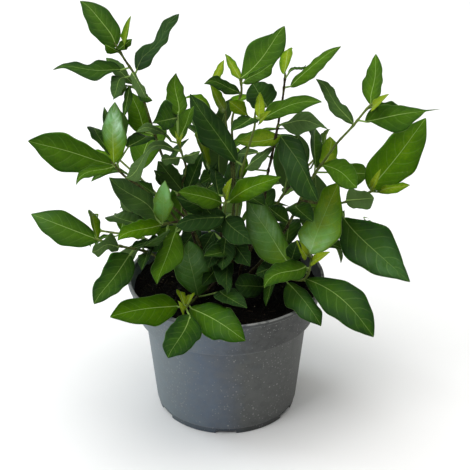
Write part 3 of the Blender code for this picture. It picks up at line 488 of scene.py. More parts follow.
@dataclass
class Blade:
    """A leaf in the round: the stem point that its stalk leaves, its midrib and its upper face."""

    root: np.ndarray
    base: np.ndarray
    tip: np.ndarray
    face: np.ndarray
    width: float
    arch: float
    bow: float
    fold: float
    lean: float = 0.0
    tone: Tone = Tone.MID
    wave: float = 1.0
    curl: float = 0.0
    sway: float = 0.0
    twist: float = 0.0
    belly: float = 0.46
    full: float = 1.35
    tail: float = 0.3
    seed: int = 0
    shade: float = 0.0
    sheen: tuple[float, float, float] = (0.0, 0.5, 0.5)
    sighting: Leaf | None = None


@dataclass
class Shoot:
    """One twig in the round: its centreline, its radius at both ends, and its blades."""

    route: list[np.ndarray]
    thick: tuple[float, float]
    blades: list[Blade]
    green: tuple[float, float]


def unit(vector: np.ndarray) -> np.ndarray:
    """The vector at length one."""
    return vector / np.linalg.norm(vector)


def turned(vector: np.ndarray, axis: np.ndarray, angle: float) -> np.ndarray:
    """Turn a vector about an axis by Rodrigues' formula.

    Args:
        vector: The vector to turn.
        axis: A unit vector.
        angle: The turn in radians, counter-clockwise round the axis.

    Returns:
        The turned vector.
    """
    return (vector * math.cos(angle) + np.cross(axis, vector) * math.sin(angle)
            + axis * np.dot(axis, vector) * (1.0 - math.cos(angle)))


def sight(across: float, down: float, depth: float) -> np.ndarray:
    """Find the point at a depth on the line of sight through a point of the picture.

    Args:
        across: Picture pixels from the left.
        down: Picture pixels from the top.
        depth: Millimetres behind the pot's axis.

    Returns:
        The point in millimetres.
    """
    ray = (FORWARD + np.array([(across - PICTURE_MIDDLE) / LENS_PIXELS, 0.0, 0.0])
           + UPWARD * ((PICTURE_MIDDLE - down) / LENS_PIXELS))
    return CAMERA + ray * ((depth - CAMERA[1]) / ray[1])


def to_picture(points: np.ndarray) -> np.ndarray:
    """Find where the picture shows points, in pixels across and down."""
    rays = points - CAMERA
    scale = LENS_PIXELS / (rays @ FORWARD)
    return PICTURE_MIDDLE + np.stack([scale * (rays @ ACROSS), -scale * (rays @ UPWARD)], axis=-1)


def smooth_route(points: list[np.ndarray], spacing: float) -> list[np.ndarray]:
    """Lay points about one spacing apart on a smooth curve through the given ones.

    Each span is a cubic whose slope at a point is half the way between its two neighbours.

    Args:
        points: The points that the curve goes through.
        spacing: The distance between the points that come back.

    Returns:
        The points along the curve, both ends included.
    """
    ends = [2 * points[0] - points[1]] + points + [2 * points[-1] - points[-2]]
    route = []
    for before, start, end, after in zip(ends, ends[1:], ends[2:], ends[3:]):
        steps = max(1, round(float(np.linalg.norm(end - start)) / spacing))
        for t in np.arange(steps) / steps:
            route.append(0.5 * (2 * start + (end - before) * t
                                + (2 * before - 5 * start + 4 * end - after) * t ** 2
                                + (3 * start - before - 3 * end + after) * t ** 3))
    return route + [points[-1]]


def stalk_root(route: list[np.ndarray], point: np.ndarray, order: int) -> np.ndarray:
    """Find where a leaf stalk leaves a route: nearest to the point, lower for each later leaf.

    Args:
        route: The stem's centreline.
        point: The blade's base.
        order: The leaf's place in its twig's list.

    Returns:
        The point on the centreline.
    """
    best, heading = route[0], UP
    for start, end in zip(route, route[1:]):
        span = end - start
        share = min(1.0, max(0.0, float(np.dot(point - start, span) / np.dot(span, span))))
        candidate = start + share * span
        if np.linalg.norm(candidate - point) <= np.linalg.norm(best - point):
            best, heading = candidate, unit(span)
    return best - STAGGER * (order + 1) * heading


def depth_beside(route: list[tuple[float, float, float]], across: float, down: float) -> float:
    """Read a sighted route's depth where it passes nearest to a point of the picture.

    Args:
        route: Sightings (across, down, depth).
        across: Picture pixels from the left.
        down: Picture pixels from the top.

    Returns:
        The depth in millimetres.
    """
    marks = np.array(route)
    share = np.linspace(0.0, 1.0, 11)[:, None, None]
    spread = (marks[None, :-1] + share * (marks[1:] - marks[:-1])[None])
    spread = spread.transpose(1, 0, 2).reshape(-1, 3)
    gap = np.hypot(spread[:, 0] - across, spread[:, 1] - down)
    return float(spread[int(np.argmin(gap)), 2])


def sighted_blade(leaf: Leaf, order: int, twig: Twig, centreline: list[np.ndarray],
                  seed: int) -> Blade:
    """Work out a leaf in the round from its sighting, its real length and the width it shows.

    The blade's base lies at its twig's depth. Its tip lies on its own line of sight, one length
    from the base, before or behind it. The blade then turns about its midrib until it shows the
    width that the picture does.

    Args:
        leaf: The sighting.
        order: The leaf's place in its twig's list.
        twig: The twig that carries it.
        centreline: That twig's route in the round.
        seed: Where the leaf's own small irregularities come from.

    Returns:
        The blade.
    """
    depth = depth_beside(twig.route, *leaf.base) + leaf.push
    base = sight(*leaf.base, depth)
    ray = unit(sight(*leaf.tip, depth) - CAMERA)
    along = float(np.dot(base - CAMERA, ray))
    miss = float(np.linalg.norm(CAMERA + along * ray - base))
    reach = math.sqrt(max(0.0, leaf.length ** 2 - miss ** 2))
    tip = CAMERA + ray * (along - reach if leaf.near else along + reach)
    chord = unit(tip - base)
    view = unit(CAMERA - (base + tip) / 2)
    facing = unit(view - np.dot(view, chord) * chord)
    width = leaf.width or WIDTH_TO_LENGTH * float(np.linalg.norm(tip - base))
    turn = math.acos(min(1.0, leaf.seen * along / LENS_PIXELS / width))
    faces = sorted((turned(facing, chord, sign * turn) for sign in (1, -1)), key=lambda n: n[2])
    face = faces[0] if leaf.down else faces[1]
    if leaf.under:
        face = -face
    side = np.cross(face, chord)
    across = unit(np.cross(view, chord))
    shown = float(np.dot(side, across))
    shown = math.copysign(max(LEAST_SHOWN, abs(shown)), shown)
    blade = Blade(stalk_root(centreline, base, order), base, tip, face, width, leaf.arch,
                 leaf.bend / shown, leaf.fold, float(np.dot(face, across)) / shown, leaf.tone,
                 leaf.wave, leaf.curl, leaf.sway / shown, leaf.twist, leaf.belly, leaf.full,
                 leaf.tail, seed, leaf.shade, leaf.sheen)
    if leaf.left:
        blade.sighting = leaf
    return blade


def outline(blade: Blade, t: np.ndarray) -> np.ndarray:
    """Give a blade's share of its full width at shares of its length.

    It is t^a (1 - t)^b over its own maximum, where a + b is the blade's fullness and its
    widest place is a / (a + b), drawn in over the last fifth by its tail.

    Args:
        blade: The leaf.
        t: The shares of the length.

    Returns:
        The shares of the width.
    """
    rise, fall = blade.belly * blade.full, (1.0 - blade.belly) * blade.full
    peak = blade.belly ** rise * (1.0 - blade.belly) ** fall
    tip = 1.0 - blade.tail * np.clip((t - 0.8) / 0.2, 0.0, 1.0) ** 1.5
    return t ** rise * (1.0 - t) ** fall / peak * tip


def shape_through(t: np.ndarray, values: np.ndarray, shape: np.ndarray) -> np.ndarray:
    """Give the factor that takes a shape through three values, at its quarters.

    It is the parabola through values over shape, held within half of its spread beyond them.

    Args:
        t: Shares of the length.
        values: The values to reach at each quarter.
        shape: What the shape has there.

    Returns:
        The factor at t.
    """
    ratios = values / shape
    total = np.zeros_like(t)
    for i, j, k in ((0, 1, 2), (1, 2, 0), (2, 0, 1)):
        total = total + ratios[i] * (t - QUARTERS[j]) * (t - QUARTERS[k]) / (
            (QUARTERS[i] - QUARTERS[j]) * (QUARTERS[i] - QUARTERS[k]))
    spread = 0.5 * max(np.ptp(ratios), 0.25 * np.max(np.abs(ratios)))
    return np.clip(total, np.min(ratios) - spread, np.max(ratios) + spread)


def rear_blades(stem: RearStem, centreline: list[np.ndarray]) -> list[Blade]:
    """Set opposite pairs of leaves on a rear stem, each pair a quarter turn from the last.

    Args:
        stem: The stem's rule and its seed.
        centreline: Its route in the round.

    Returns:
        Its blades, the pair at the tip last.
    """
    draw = random.Random(stem.seed)
    blades: list[Blade] = []
    for pair in range(stem.pairs + 1):
        share = PAIR_START + (1.0 - PAIR_START) * pair / stem.pairs
        place = share * (len(centreline) - 1)
        index = min(int(place), len(centreline) - 2)
        node = centreline[index] + (place - index) * (centreline[index + 1] - centreline[index])
        rise = unit(centreline[index + 1] - centreline[index])
        across = unit(np.cross(rise, UP))
        across = turned(across, rise,
                        math.radians(90.0 * (pair % 2) + draw.uniform(-22.0, 22.0)))
        size = 1.0 - 0.35 * (pair == stem.pairs) - 0.12 * (pair == 0)
        for side in (1, -1):
            heading = unit(side * across + draw.uniform(0.35, 0.75) * rise
                           + UP * draw.uniform(0.0, 0.25))
            length = (REAR_LEAF_LENGTH * size * draw.uniform(0.88, 1.12)
                      * stem.small.get(len(blades), 1.0))
            base = node + PETIOLE_LENGTH * heading
            tip = base + length * heading - UP * 0.14 * length
            chord = unit(tip - base)
            upright = np.array([draw.uniform(-0.3, 0.3), draw.uniform(0.0, 0.5), 1.0])
            face = unit(upright - np.dot(upright, chord) * chord)
            root = stalk_root(centreline, node, len(blades))
            tone = Tone.BRIGHT if pair == stem.pairs else (Tone.MID, Tone.DARK)[len(blades) % 2]
            blades.append(Blade(root, base, tip, face, WIDTH_TO_LENGTH * length,
                                draw.uniform(4.0, 8.0), draw.uniform(-3.0, 3.0),
                                draw.uniform(8.0, 16.0), tone=tone,
                                seed=100 * stem.seed + len(blades)))
    return blades


def planted(foot: tuple[float, float], points: list[np.ndarray]) -> list[np.ndarray]:
    """Lay a route that starts upright in its hole in the soil and goes on through the points.

    Args:
        foot: Where the stem stands, right and back.
        points: Where it goes from there.

    Returns:
        The route in the round.
    """
    upright = [np.array([*foot, SOIL_LEVEL - HOLE_BOTTOM + FIT_GAP]),
               np.array([*foot, SOIL_LEVEL + SOIL_DOME + CLEAR_OF_SOIL])]
    return upright[:1] + smooth_route([upright[1]] + points, STEM_SPACING)


def sighted_shoots(stem: LeafyStem) -> list[Shoot]:
    """Work out the twigs and blades of a stem that the photograph shows."""
    shoots = []
    for index, twig in enumerate(stem.twigs):
        points = [sight(*point) for point in twig.route]
        route = planted(stem.foot, points) if index == 0 else smooth_route(points, STEM_SPACING)
        blades = [sighted_blade(leaf, order, twig, route, len(stem.name) * 31 + 17 * index + order)
                  for order, leaf in enumerate(twig.leaves)]
        shoots.append(Shoot(route, twig.thick, blades, twig.green))
    return shoots


def rear_shoots(stem: RearStem) -> list[Shoot]:
    """Work out the twig and blades of a stem that the photograph hides."""
    foot = np.array([*stem.foot, POT_HEIGHT])
    tip = np.array(stem.tip)
    bend = (foot + tip) / 2 + REAR_SAG * UP
    route = planted(stem.foot, [bend, tip])
    return [Shoot(route, REAR_THICK, rear_blades(stem, route), REAR_GREEN)]


class Skin:
    """Collects the corners, faces and per-corner values of one piece, and makes its mesh."""

    def __init__(self) -> None:
        """Start with no corners and no faces."""
        self.corners: list[np.ndarray] = []
        self.faces: list[np.ndarray] = []
        self.values: dict[str, list[np.ndarray]] = {}
        self.count = 0

    def add(self, corners: np.ndarray, faces: list[np.ndarray],
            **values: np.ndarray | float) -> None:
        """Add a patch of corners and faces.

        Args:
            corners: Points in millimetres, one a row.
            faces: Arrays of corner numbers, one face a row, outwards by the right hand.
            values: Numbers for each corner, or one for them all, by name.
        """
        self.corners.append(corners)
        self.faces += [part + self.count for part in faces]
        self.count += len(corners)
        for name, value in values.items():
            full = np.broadcast_to(np.asarray(value, float), (len(corners),))
            self.values.setdefault(name, []).append(full)

    def make(self, name: str, material: bpy.types.Material, smooth: bool = True) -> bpy.types.Object:
        """Make the Blender object, in metres, with its values as point attributes.

        Args:
            name: The piece's name.
            material: Its finish.
            smooth: Whether its faces are shaded smooth.

        Returns:
            The object, at the origin.
        """
        points = np.concatenate(self.corners) * MM
        loops = np.concatenate([faces.ravel() for faces in self.faces])
        sizes = np.concatenate([np.full(len(faces), faces.shape[1]) for faces in self.faces])
        mesh = bpy.data.meshes.new(name)
        mesh.vertices.add(len(points))
        mesh.vertices.foreach_set("co", points.astype(np.float32).ravel())
        mesh.loops.add(len(loops))
        mesh.loops.foreach_set("vertex_index", loops.astype(np.int32))
        mesh.polygons.add(len(sizes))
        starts = np.concatenate([[0], np.cumsum(sizes)[:-1]])
        mesh.polygons.foreach_set("loop_start", starts.astype(np.int32))
        mesh.polygons.foreach_set("use_smooth", np.full(len(sizes), smooth))
        mesh.update(calc_edges=True)
        for label, parts in self.values.items():
            layer = mesh.attributes.new(label, "FLOAT", "POINT")
            layer.data.foreach_set("value", np.concatenate(parts).astype(np.float32))
        mesh.validate()
        mesh.materials.append(material)
        made = bpy.data.objects.new(name, mesh)
        bpy.context.scene.collection.objects.link(made)
        return made


def grid_faces(rows: int, columns: int, closed: bool = False) -> np.ndarray:
    """Number the four-cornered faces of a grid of corners stored row by row.

    Args:
        rows: Corners down.
        columns: Corners across.
        closed: Whether the last column joins the first.

    Returns:
        One face a row: its corner, the next across, the one below that, and the one below.
    """
    across = columns if closed else columns - 1
    row, column = np.meshgrid(np.arange(rows - 1), np.arange(across), indexing="ij")
    after = (column + 1) % columns
    faces = np.stack([row * columns + column, row * columns + after,
                      (row + 1) * columns + after, (row + 1) * columns + column], axis=-1)
    return faces.reshape(-1, 4)


def fan(rows: int, columns: int) -> list[np.ndarray]:
    """Number the faces of a closed grid whose two ends meet in poles, stored after it.

    Args:
        rows: Rings of corners.
        columns: Corners in a ring.

    Returns:
        The four-cornered faces, then the triangles of the first pole, then those of the last.
    """
    column = np.arange(columns)
    after = (column + 1) % columns
    last = (rows - 1) * columns
    first_pole = np.full(columns, rows * columns)
    return [grid_faces(rows, columns, closed=True),
            np.stack([after, column, first_pole], axis=-1),
            np.stack([last + column, last + after, first_pole + 1], axis=-1)]


def tube(route: np.ndarray, radii: np.ndarray, sides: int) -> tuple[np.ndarray, list[np.ndarray]]:
    """Carry a round section along a path: centre + radius (cos a side + sin a other).

    The side is square to the path and to the direction that the path goes in least, so the
    section doesn't spin. Each end closes in a pole.

    Args:
        route: The centreline's points.
        radii: The radius at each.
        sides: Corners round the section.

    Returns:
        The corners, the two poles last, and the faces.
    """
    heading = np.gradient(route, axis=0)
    heading /= np.linalg.norm(heading, axis=1)[:, None]
    least = np.linalg.svd(heading, full_matrices=True)[2][-1]
    first = np.cross(least, heading)
    first /= np.linalg.norm(first, axis=1)[:, None]
    second = np.cross(heading, first)
    angle = (math.tau * np.arange(sides) / sides)[None, :, None]
    corners = route[:, None] + radii[:, None, None] * (np.cos(angle) * first[:, None]
                                                       + np.sin(angle) * second[:, None])
    ends = np.stack([route[0] - 0.3 * radii[0] * heading[0],
                     route[-1] + 0.3 * radii[-1] * heading[-1]])
    return np.concatenate([corners.reshape(-1, 3), ends]), fan(len(route), sides)


class Graph:
    """Adds nodes to one node tree and joins them."""

    def __init__(self, tree: bpy.types.NodeTree) -> None:
        """Hold the tree that the nodes go into."""
        self.tree = tree

    def feed(self, socket: bpy.types.NodeSocket, value: object) -> None:
        """Join an output to a socket, or set the socket's own value."""
        if isinstance(value, bpy.types.NodeSocket):
            self.tree.links.new(value, socket)
        else:
            socket.default_value = value

    def add(self, kind: str, inputs: dict[str | int, object] | None = None,
            **settings: object) -> bpy.types.Node:
        """Add a node.

        Args:
            kind: Its type name.
            inputs: What goes into its sockets, by name or number.
            settings: Its own properties.

        Returns:
            The node.
        """
        node = self.tree.nodes.new(kind)
        for name, value in settings.items():
            setattr(node, name, value)
        for name, value in (inputs or {}).items():
            self.feed(node.inputs[name], value)
        return node

    def maths(self, operation: str, *values: object, clamp: bool = False) -> bpy.types.NodeSocket:
        """Put values through one Math node and give its output."""
        node = self.add("ShaderNodeMath", dict(enumerate(values)), operation=operation,
                        use_clamp=clamp)
        return node.outputs[0]

    def blend(self, share: object, first: object, second: object,
              kind: str = "MIX") -> bpy.types.NodeSocket:
        """Mix two colours by a share from 0 to 1 and give the result."""
        node = self.add("ShaderNodeMix", {0: share, 6: first, 7: second}, data_type="RGBA",
                        blend_type=kind)
        return node.outputs[2]

    def span(self, value: object, low: float, high: float, start: float = 0.0,
             end: float = 1.0) -> bpy.types.NodeSocket:
        """Map low...high smoothly to start...end, level beyond both, and give the result."""
        node = self.add("ShaderNodeMapRange", {0: value, 1: low, 2: high, 3: start, 4: end},
                        interpolation_type="SMOOTHSTEP")
        return node.outputs[0]

    def value(self, name: str) -> bpy.types.NodeSocket:
        """Give the piece's attribute of that name as a number."""
        return self.add("ShaderNodeAttribute", attribute_name=name).outputs["Fac"]

    def place(self) -> bpy.types.NodeSocket:
        """Give the point's place on the piece, in metres."""
        return self.add("ShaderNodeTexCoord").outputs["Object"]

    def noise(self, place: object, scale: float, detail: float = 2.0,
              rough: float = 0.5) -> bpy.types.NodeSocket:
        """Give a cloudy value about 0.5, with scale clouds to the metre."""
        node = self.add("ShaderNodeTexNoise", {"Vector": place, "Scale": scale, "Detail": detail,
                                               "Roughness": rough})
        return node.outputs["Fac"]

    def ramp(self, value: object,
             stops: tuple[tuple[float, tuple[float, float, float]], ...]) -> bpy.types.NodeSocket:
        """Turn a value into a colour between the given stops."""
        node = self.add("ShaderNodeValToRGB", {0: value})
        ramp = node.color_ramp
        while len(ramp.elements) < len(stops):
            ramp.elements.new(0.5)
        for element, (position, colour) in zip(ramp.elements, stops):
            element.position = position
            element.color = (*colour, 1.0)
        return node.outputs["Color"]

    def use(self, group: bpy.types.NodeTree, **inputs: object) -> bpy.types.Node:
        """Place a shared node group, with what goes into it by socket name."""
        node = self.add("ShaderNodeGroup")
        node.node_tree = group
        for name, value in inputs.items():
            self.feed(node.inputs[name.replace("_", " ")], value)
        return node


def new_group(name: str, inputs: dict[str, float | None],
              outputs: tuple[str, ...]) -> tuple[bpy.types.NodeTree, Graph, dict, dict]:
    """Start a shader node group.

    Args:
        name: The group's name.
        inputs: Each input's name and its value, or None for a vector.
        outputs: The names of the numbers that it puts out.

    Returns:
        The group, its graph, its inputs by name, and its output sockets by name.
    """
    tree = bpy.data.node_groups.new(name, "ShaderNodeTree")
    for label, value in inputs.items():
        kind = "NodeSocketVector" if value is None else "NodeSocketFloat"
        socket = tree.interface.new_socket(name=label, in_out="INPUT", socket_type=kind)
        if value is not None:
            socket.default_value = value
    for label in outputs:
        tree.interface.new_socket(name=label, in_out="OUTPUT", socket_type="NodeSocketFloat")
    graph = Graph(tree)
    entry = graph.add("NodeGroupInput")
    leave = graph.add("NodeGroupOutput")
    return (tree, graph, {label: entry.outputs[label] for label in inputs},
            {label: leave.inputs[label] for label in outputs})


class Effects:
    """The shader node groups that several finishes share."""

    def __init__(self) -> None:
        """Build every group once."""
        self.mottle = self.make_mottle()
        self.specks = self.make_specks()
        self.veins = self.make_veins()

    def make_mottle(self) -> bpy.types.NodeTree:
        """Cloudy patches with finer ones in them: noise of two scales, 0.65 and 0.35 of each."""
        tree, graph, given, out = new_group("cloudy_mottle", {"Place": None, "Scale": 60.0},
                                            ("Value",))
        broad = graph.add("ShaderNodeTexNoise", {"Vector": given["Place"],
                                                 "Scale": given["Scale"], "Detail": 2.0})
        fine = graph.add("ShaderNodeTexNoise", {
            "Vector": given["Place"], "Scale": graph.maths("MULTIPLY", given["Scale"], 6.3),
            "Detail": 3.0})
        both = graph.maths("ADD", graph.maths("MULTIPLY", broad.outputs["Fac"], 0.65),
                           graph.maths("MULTIPLY", fine.outputs["Fac"], 0.35))
        graph.feed(out["Value"], graph.span(both, 0.3, 0.7))
        return tree

    def make_specks(self) -> bpy.types.NodeTree:
        """Small round grains: cell points closer than a size that clouds make come and go."""
        tree, graph, given, out = new_group(
            "fine_specks", {"Place": None, "Scale": 500.0, "Size": 0.22, "Cover": 0.5},
            ("Mask",))
        cells = graph.add("ShaderNodeTexVoronoi", {"Vector": given["Place"],
                                                   "Scale": given["Scale"]})
        clouds = graph.add("ShaderNodeTexNoise", {
            "Vector": given["Place"], "Scale": graph.maths("MULTIPLY", given["Scale"], 0.08),
            "Detail": 3.0})
        pick = graph.add("ShaderNodeSeparateColor", {0: cells.outputs["Color"]}).outputs[0]
        shown = graph.maths("GREATER_THAN", given["Cover"],
                            graph.maths("MULTIPLY", pick, graph.span(clouds.outputs["Fac"], 0.35,
                                                                     0.65, 2.0, 0.6)))
        size = graph.maths("MULTIPLY", given["Size"], graph.maths("ADD", pick, 0.6))
        near = graph.maths("DIVIDE", cells.outputs["Distance"], size)
        graph.feed(out["Mask"], graph.maths("MULTIPLY", shown, graph.span(near, 0.6, 1.0, 1.0, 0.0)))
        return tree

    def make_veins(self) -> bpy.types.NodeTree:
        """A leaf's veins from its own coordinates.

        The midrib is where the offset in millimetres is under a width that shrinks to the tip. A
        side vein is where (along - 0.10 |across| - 0.15 across^2) times their number is whole,
        and the two sides are half a step apart.
        """
        tree, graph, given, out = new_group(
            "leaf_veins", {"Across": 0.0, "Along": 0.0, "Offset": 0.0, "Pairs": 7.0},
            ("Midrib", "Veins", "Relief"))
        aside = graph.maths("ABSOLUTE", given["Across"])
        width = graph.maths("MULTIPLY_ADD", given["Along"], -0.42, 0.58)
        gap = graph.maths("DIVIDE", graph.maths("ABSOLUTE", given["Offset"]), width)
        midrib = graph.span(gap, 0.35, 1.1, 1.0, 0.0)
        bend = graph.maths("MULTIPLY_ADD", graph.maths("MULTIPLY", aside, aside), -0.15,
                           graph.maths("MULTIPLY_ADD", aside, -0.10, given["Along"]))
        step = graph.maths("MULTIPLY_ADD", graph.maths("SIGN", given["Across"]), 0.21,
                           graph.maths("MULTIPLY", bend, given["Pairs"]))
        gap = graph.maths("ABSOLUTE", graph.maths("SUBTRACT", graph.maths("FRACT", step), 0.5))
        line = graph.span(gap, 0.0, 0.085, 1.0, 0.0)
        groove = graph.span(gap, 0.0, 0.42, 1.0, 0.0)
        fade = graph.maths("MULTIPLY", graph.span(aside, 0.55, 0.95, 1.0, 0.0),
                           graph.span(given["Along"], 0.86, 0.97, 1.0, 0.0))
        graph.feed(out["Midrib"], midrib)
        graph.feed(out["Veins"], graph.maths("MULTIPLY", line, fade))
        relief = graph.maths("MULTIPLY", groove, graph.span(aside, 0.7, 1.0, -0.5, 0.0))
        graph.feed(out["Relief"], graph.maths("SUBTRACT", relief, midrib))
        return tree


def new_material(name: str, **constants: object) -> tuple[bpy.types.Material, Graph,
                                                          bpy.types.Node]:
    """Start a material.

    Args:
        name: Its name.
        constants: Values of the shader's own sockets, with _ for a space.

    Returns:
        The material, its graph and its shader node.
    """
    material = bpy.data.materials.new(name)
    material.use_nodes = True
    graph = Graph(material.node_tree)
    shader = material.node_tree.nodes["Principled BSDF"]
    for label, value in constants.items():
        shader.inputs[label.replace("_", " ")].default_value = value
    return material, graph, shader


@dataclass(frozen=True)
class LeafFinish:
    """Leathery evergreen leaf: glossy green above, dull grey-green below, with pale veins and a painted
    sheen.
    """

    ages: tuple[tuple[float, tuple[float, float, float]], ...] = (
        (0.0, (0.22, 0.30, 0.012)), (0.22, (0.115, 0.205, 0.005)), (0.42, (0.060, 0.145, 0.001)),
        (0.62, (0.040, 0.100, 0.002)), (0.85, (0.017, 0.057, 0.002)), (1.1, (0.006, 0.026, 0.004)))
    greyed: tuple[float, float, float, float] = (0.065, 0.115, 0.035, 1.0)
    rib: tuple[float, float, float, float] = (0.28, 0.42, 0.11, 1.0)
    below: tuple[float, float, float, float] = (0.10, 0.17, 0.05, 1.0)
    # Pale margin colour: partly the leaf's own edge, partly a painted edge highlight.
    margin: tuple[float, float, float, float] = (0.17, 0.25, 0.09, 1.0)
    # Colour of the painted sheen: a pale green highlight painted into the leaf.
    painted_sheen: tuple[float, float, float, float] = (0.17, 0.42, 0.11, 1.0)

    def material(self, effects: Effects) -> bpy.types.Material:
        """Make the material from the piece's across, along, offset, below, age, grey, gloss and sheen."""
        material, graph, shader = new_material(
            "laurustinus_leaf", Subsurface_Weight=0.12, Subsurface_Radius=(0.4, 1.0, 0.15),
            Subsurface_Scale=0.0012, Coat_Roughness=0.32, Specular_IOR_Level=0.02)
        place = graph.place()
        across, along = graph.value("across"), graph.value("along")
        veins = graph.use(effects.veins, Across=across, Along=along,
                          Offset=graph.value("offset"))
        cloud = graph.use(effects.mottle, Place=place, Scale=70.0).outputs["Value"]
        grain = graph.noise(place, 900.0, 2.0)
        age = graph.maths("ADD", graph.value("age"),
                          graph.maths("MULTIPLY_ADD", cloud, 0.20, -0.10))
        aside = graph.maths("ABSOLUTE", across)
        age = graph.maths("MULTIPLY_ADD", graph.maths("SUBTRACT", 1.0, along), -0.08, age)
        age = graph.maths("ADD", age, graph.span(aside, 0.1, 0.95, -0.09, 0.13))
        colour = graph.ramp(age, self.ages)
        colour = graph.blend(graph.value("grey"), colour, self.greyed)
        colour = graph.blend(graph.span(grain, 0.35, 0.7, 0.0, 0.25), colour,
                             (0.02, 0.05, 0.01, 1.0))
        shine = graph.maths("MULTIPLY", graph.value("sheen"),
                            graph.maths("SUBTRACT", 1.0, graph.value("below")))
        # Side veins are painted paler where the sheen is strong: a painted highlight along the veins, over
        # their own pale colour.
        line = graph.maths("MULTIPLY", veins.outputs["Veins"],
                           graph.maths("MULTIPLY_ADD", shine, 0.20, 0.09))
        colour = graph.blend(line, colour, self.rib)
        # A pale line along the margin: partly the leaf's own paler edge, partly a painted edge highlight.
        colour = graph.blend(graph.span(aside, 0.955, 1.0, 0.0, 0.55), colour, self.margin)
        under = graph.value("below")
        dull = graph.blend(0.6, colour, self.below)
        colour = graph.blend(under, colour, dull)
        rib = graph.maths("MULTIPLY", veins.outputs["Midrib"], graph.span(age, 0.5, 1.1, 0.8, 0.25))
        colour = graph.blend(rib, colour, self.rib)
        # Painted sheen: a pale green highlight is painted into the base colour by the sheen value, and the
        # coat follows the same share.
        painted_sheen = graph.maths("MULTIPLY", shine, graph.span(cloud, 0.0, 1.0, 0.16, 0.36))
        painted_sheen = graph.maths("MULTIPLY", painted_sheen, graph.span(aside, 0.5, 1.0, 1.0, 0.2))
        colour = graph.blend(painted_sheen, colour, self.painted_sheen)
        graph.feed(shader.inputs["Base Color"], colour)
        gloss = graph.maths("MULTIPLY", graph.value("gloss"),
                            graph.maths("SUBTRACT", 1.0, under))
        rough = graph.maths("MULTIPLY_ADD", gloss, -0.24, 0.62)
        rough = graph.maths("MULTIPLY_ADD", cloud, 0.10, rough)
        graph.feed(shader.inputs["Roughness"], rough)
        graph.feed(shader.inputs["Coat Weight"], graph.maths("MULTIPLY", painted_sheen, 1.6, clamp=True))
        height = graph.maths("MULTIPLY_ADD", grain, 0.25, veins.outputs["Relief"])
        bump = graph.add("ShaderNodeBump", {"Height": height, "Strength": 0.5,
                                            "Distance": 0.0004})
        graph.feed(shader.inputs["Normal"], bump.outputs["Normal"])
        return material


@dataclass(frozen=True)
class BarkFinish:
    """Thin bark: brown and cracked on old wood, smooth olive green on the young shoots."""

    old: tuple[float, float, float, float] = (0.016, 0.011, 0.006, 1.0)
    pale: tuple[float, float, float, float] = (0.065, 0.048, 0.020, 1.0)
    young: tuple[float, float, float, float] = (0.135, 0.185, 0.035, 1.0)

    def material(self, effects: Effects) -> bpy.types.Material:
        """Make the material from the piece's youth value and its place."""
        material, graph, shader = new_material("twig_bark", Specular_IOR_Level=0.15)
        place = graph.place()
        cloud = graph.use(effects.mottle, Place=place, Scale=120.0).outputs["Value"]
        specks = graph.use(effects.specks, Place=place, Scale=700.0, Size=0.3, Cover=0.35)
        bark = graph.blend(cloud, self.old, self.pale)
        bark = graph.blend(specks.outputs["Mask"], bark, (0.25, 0.2, 0.13, 1.0))
        youth = graph.maths("MULTIPLY_ADD", graph.maths("SUBTRACT", cloud, 0.5), 0.5,
                            graph.value("youth"))
        youth = graph.span(youth, 0.2, 0.8)
        graph.feed(shader.inputs["Base Color"], graph.blend(youth, bark, self.young))
        graph.feed(shader.inputs["Roughness"], graph.maths("MULTIPLY_ADD", youth, -0.3, 0.78))
        bump = graph.add("ShaderNodeBump", {"Height": cloud, "Strength": 0.6,
                                            "Distance": 0.0006})
        graph.feed(shader.inputs["Normal"], bump.outputs["Normal"])
        return material


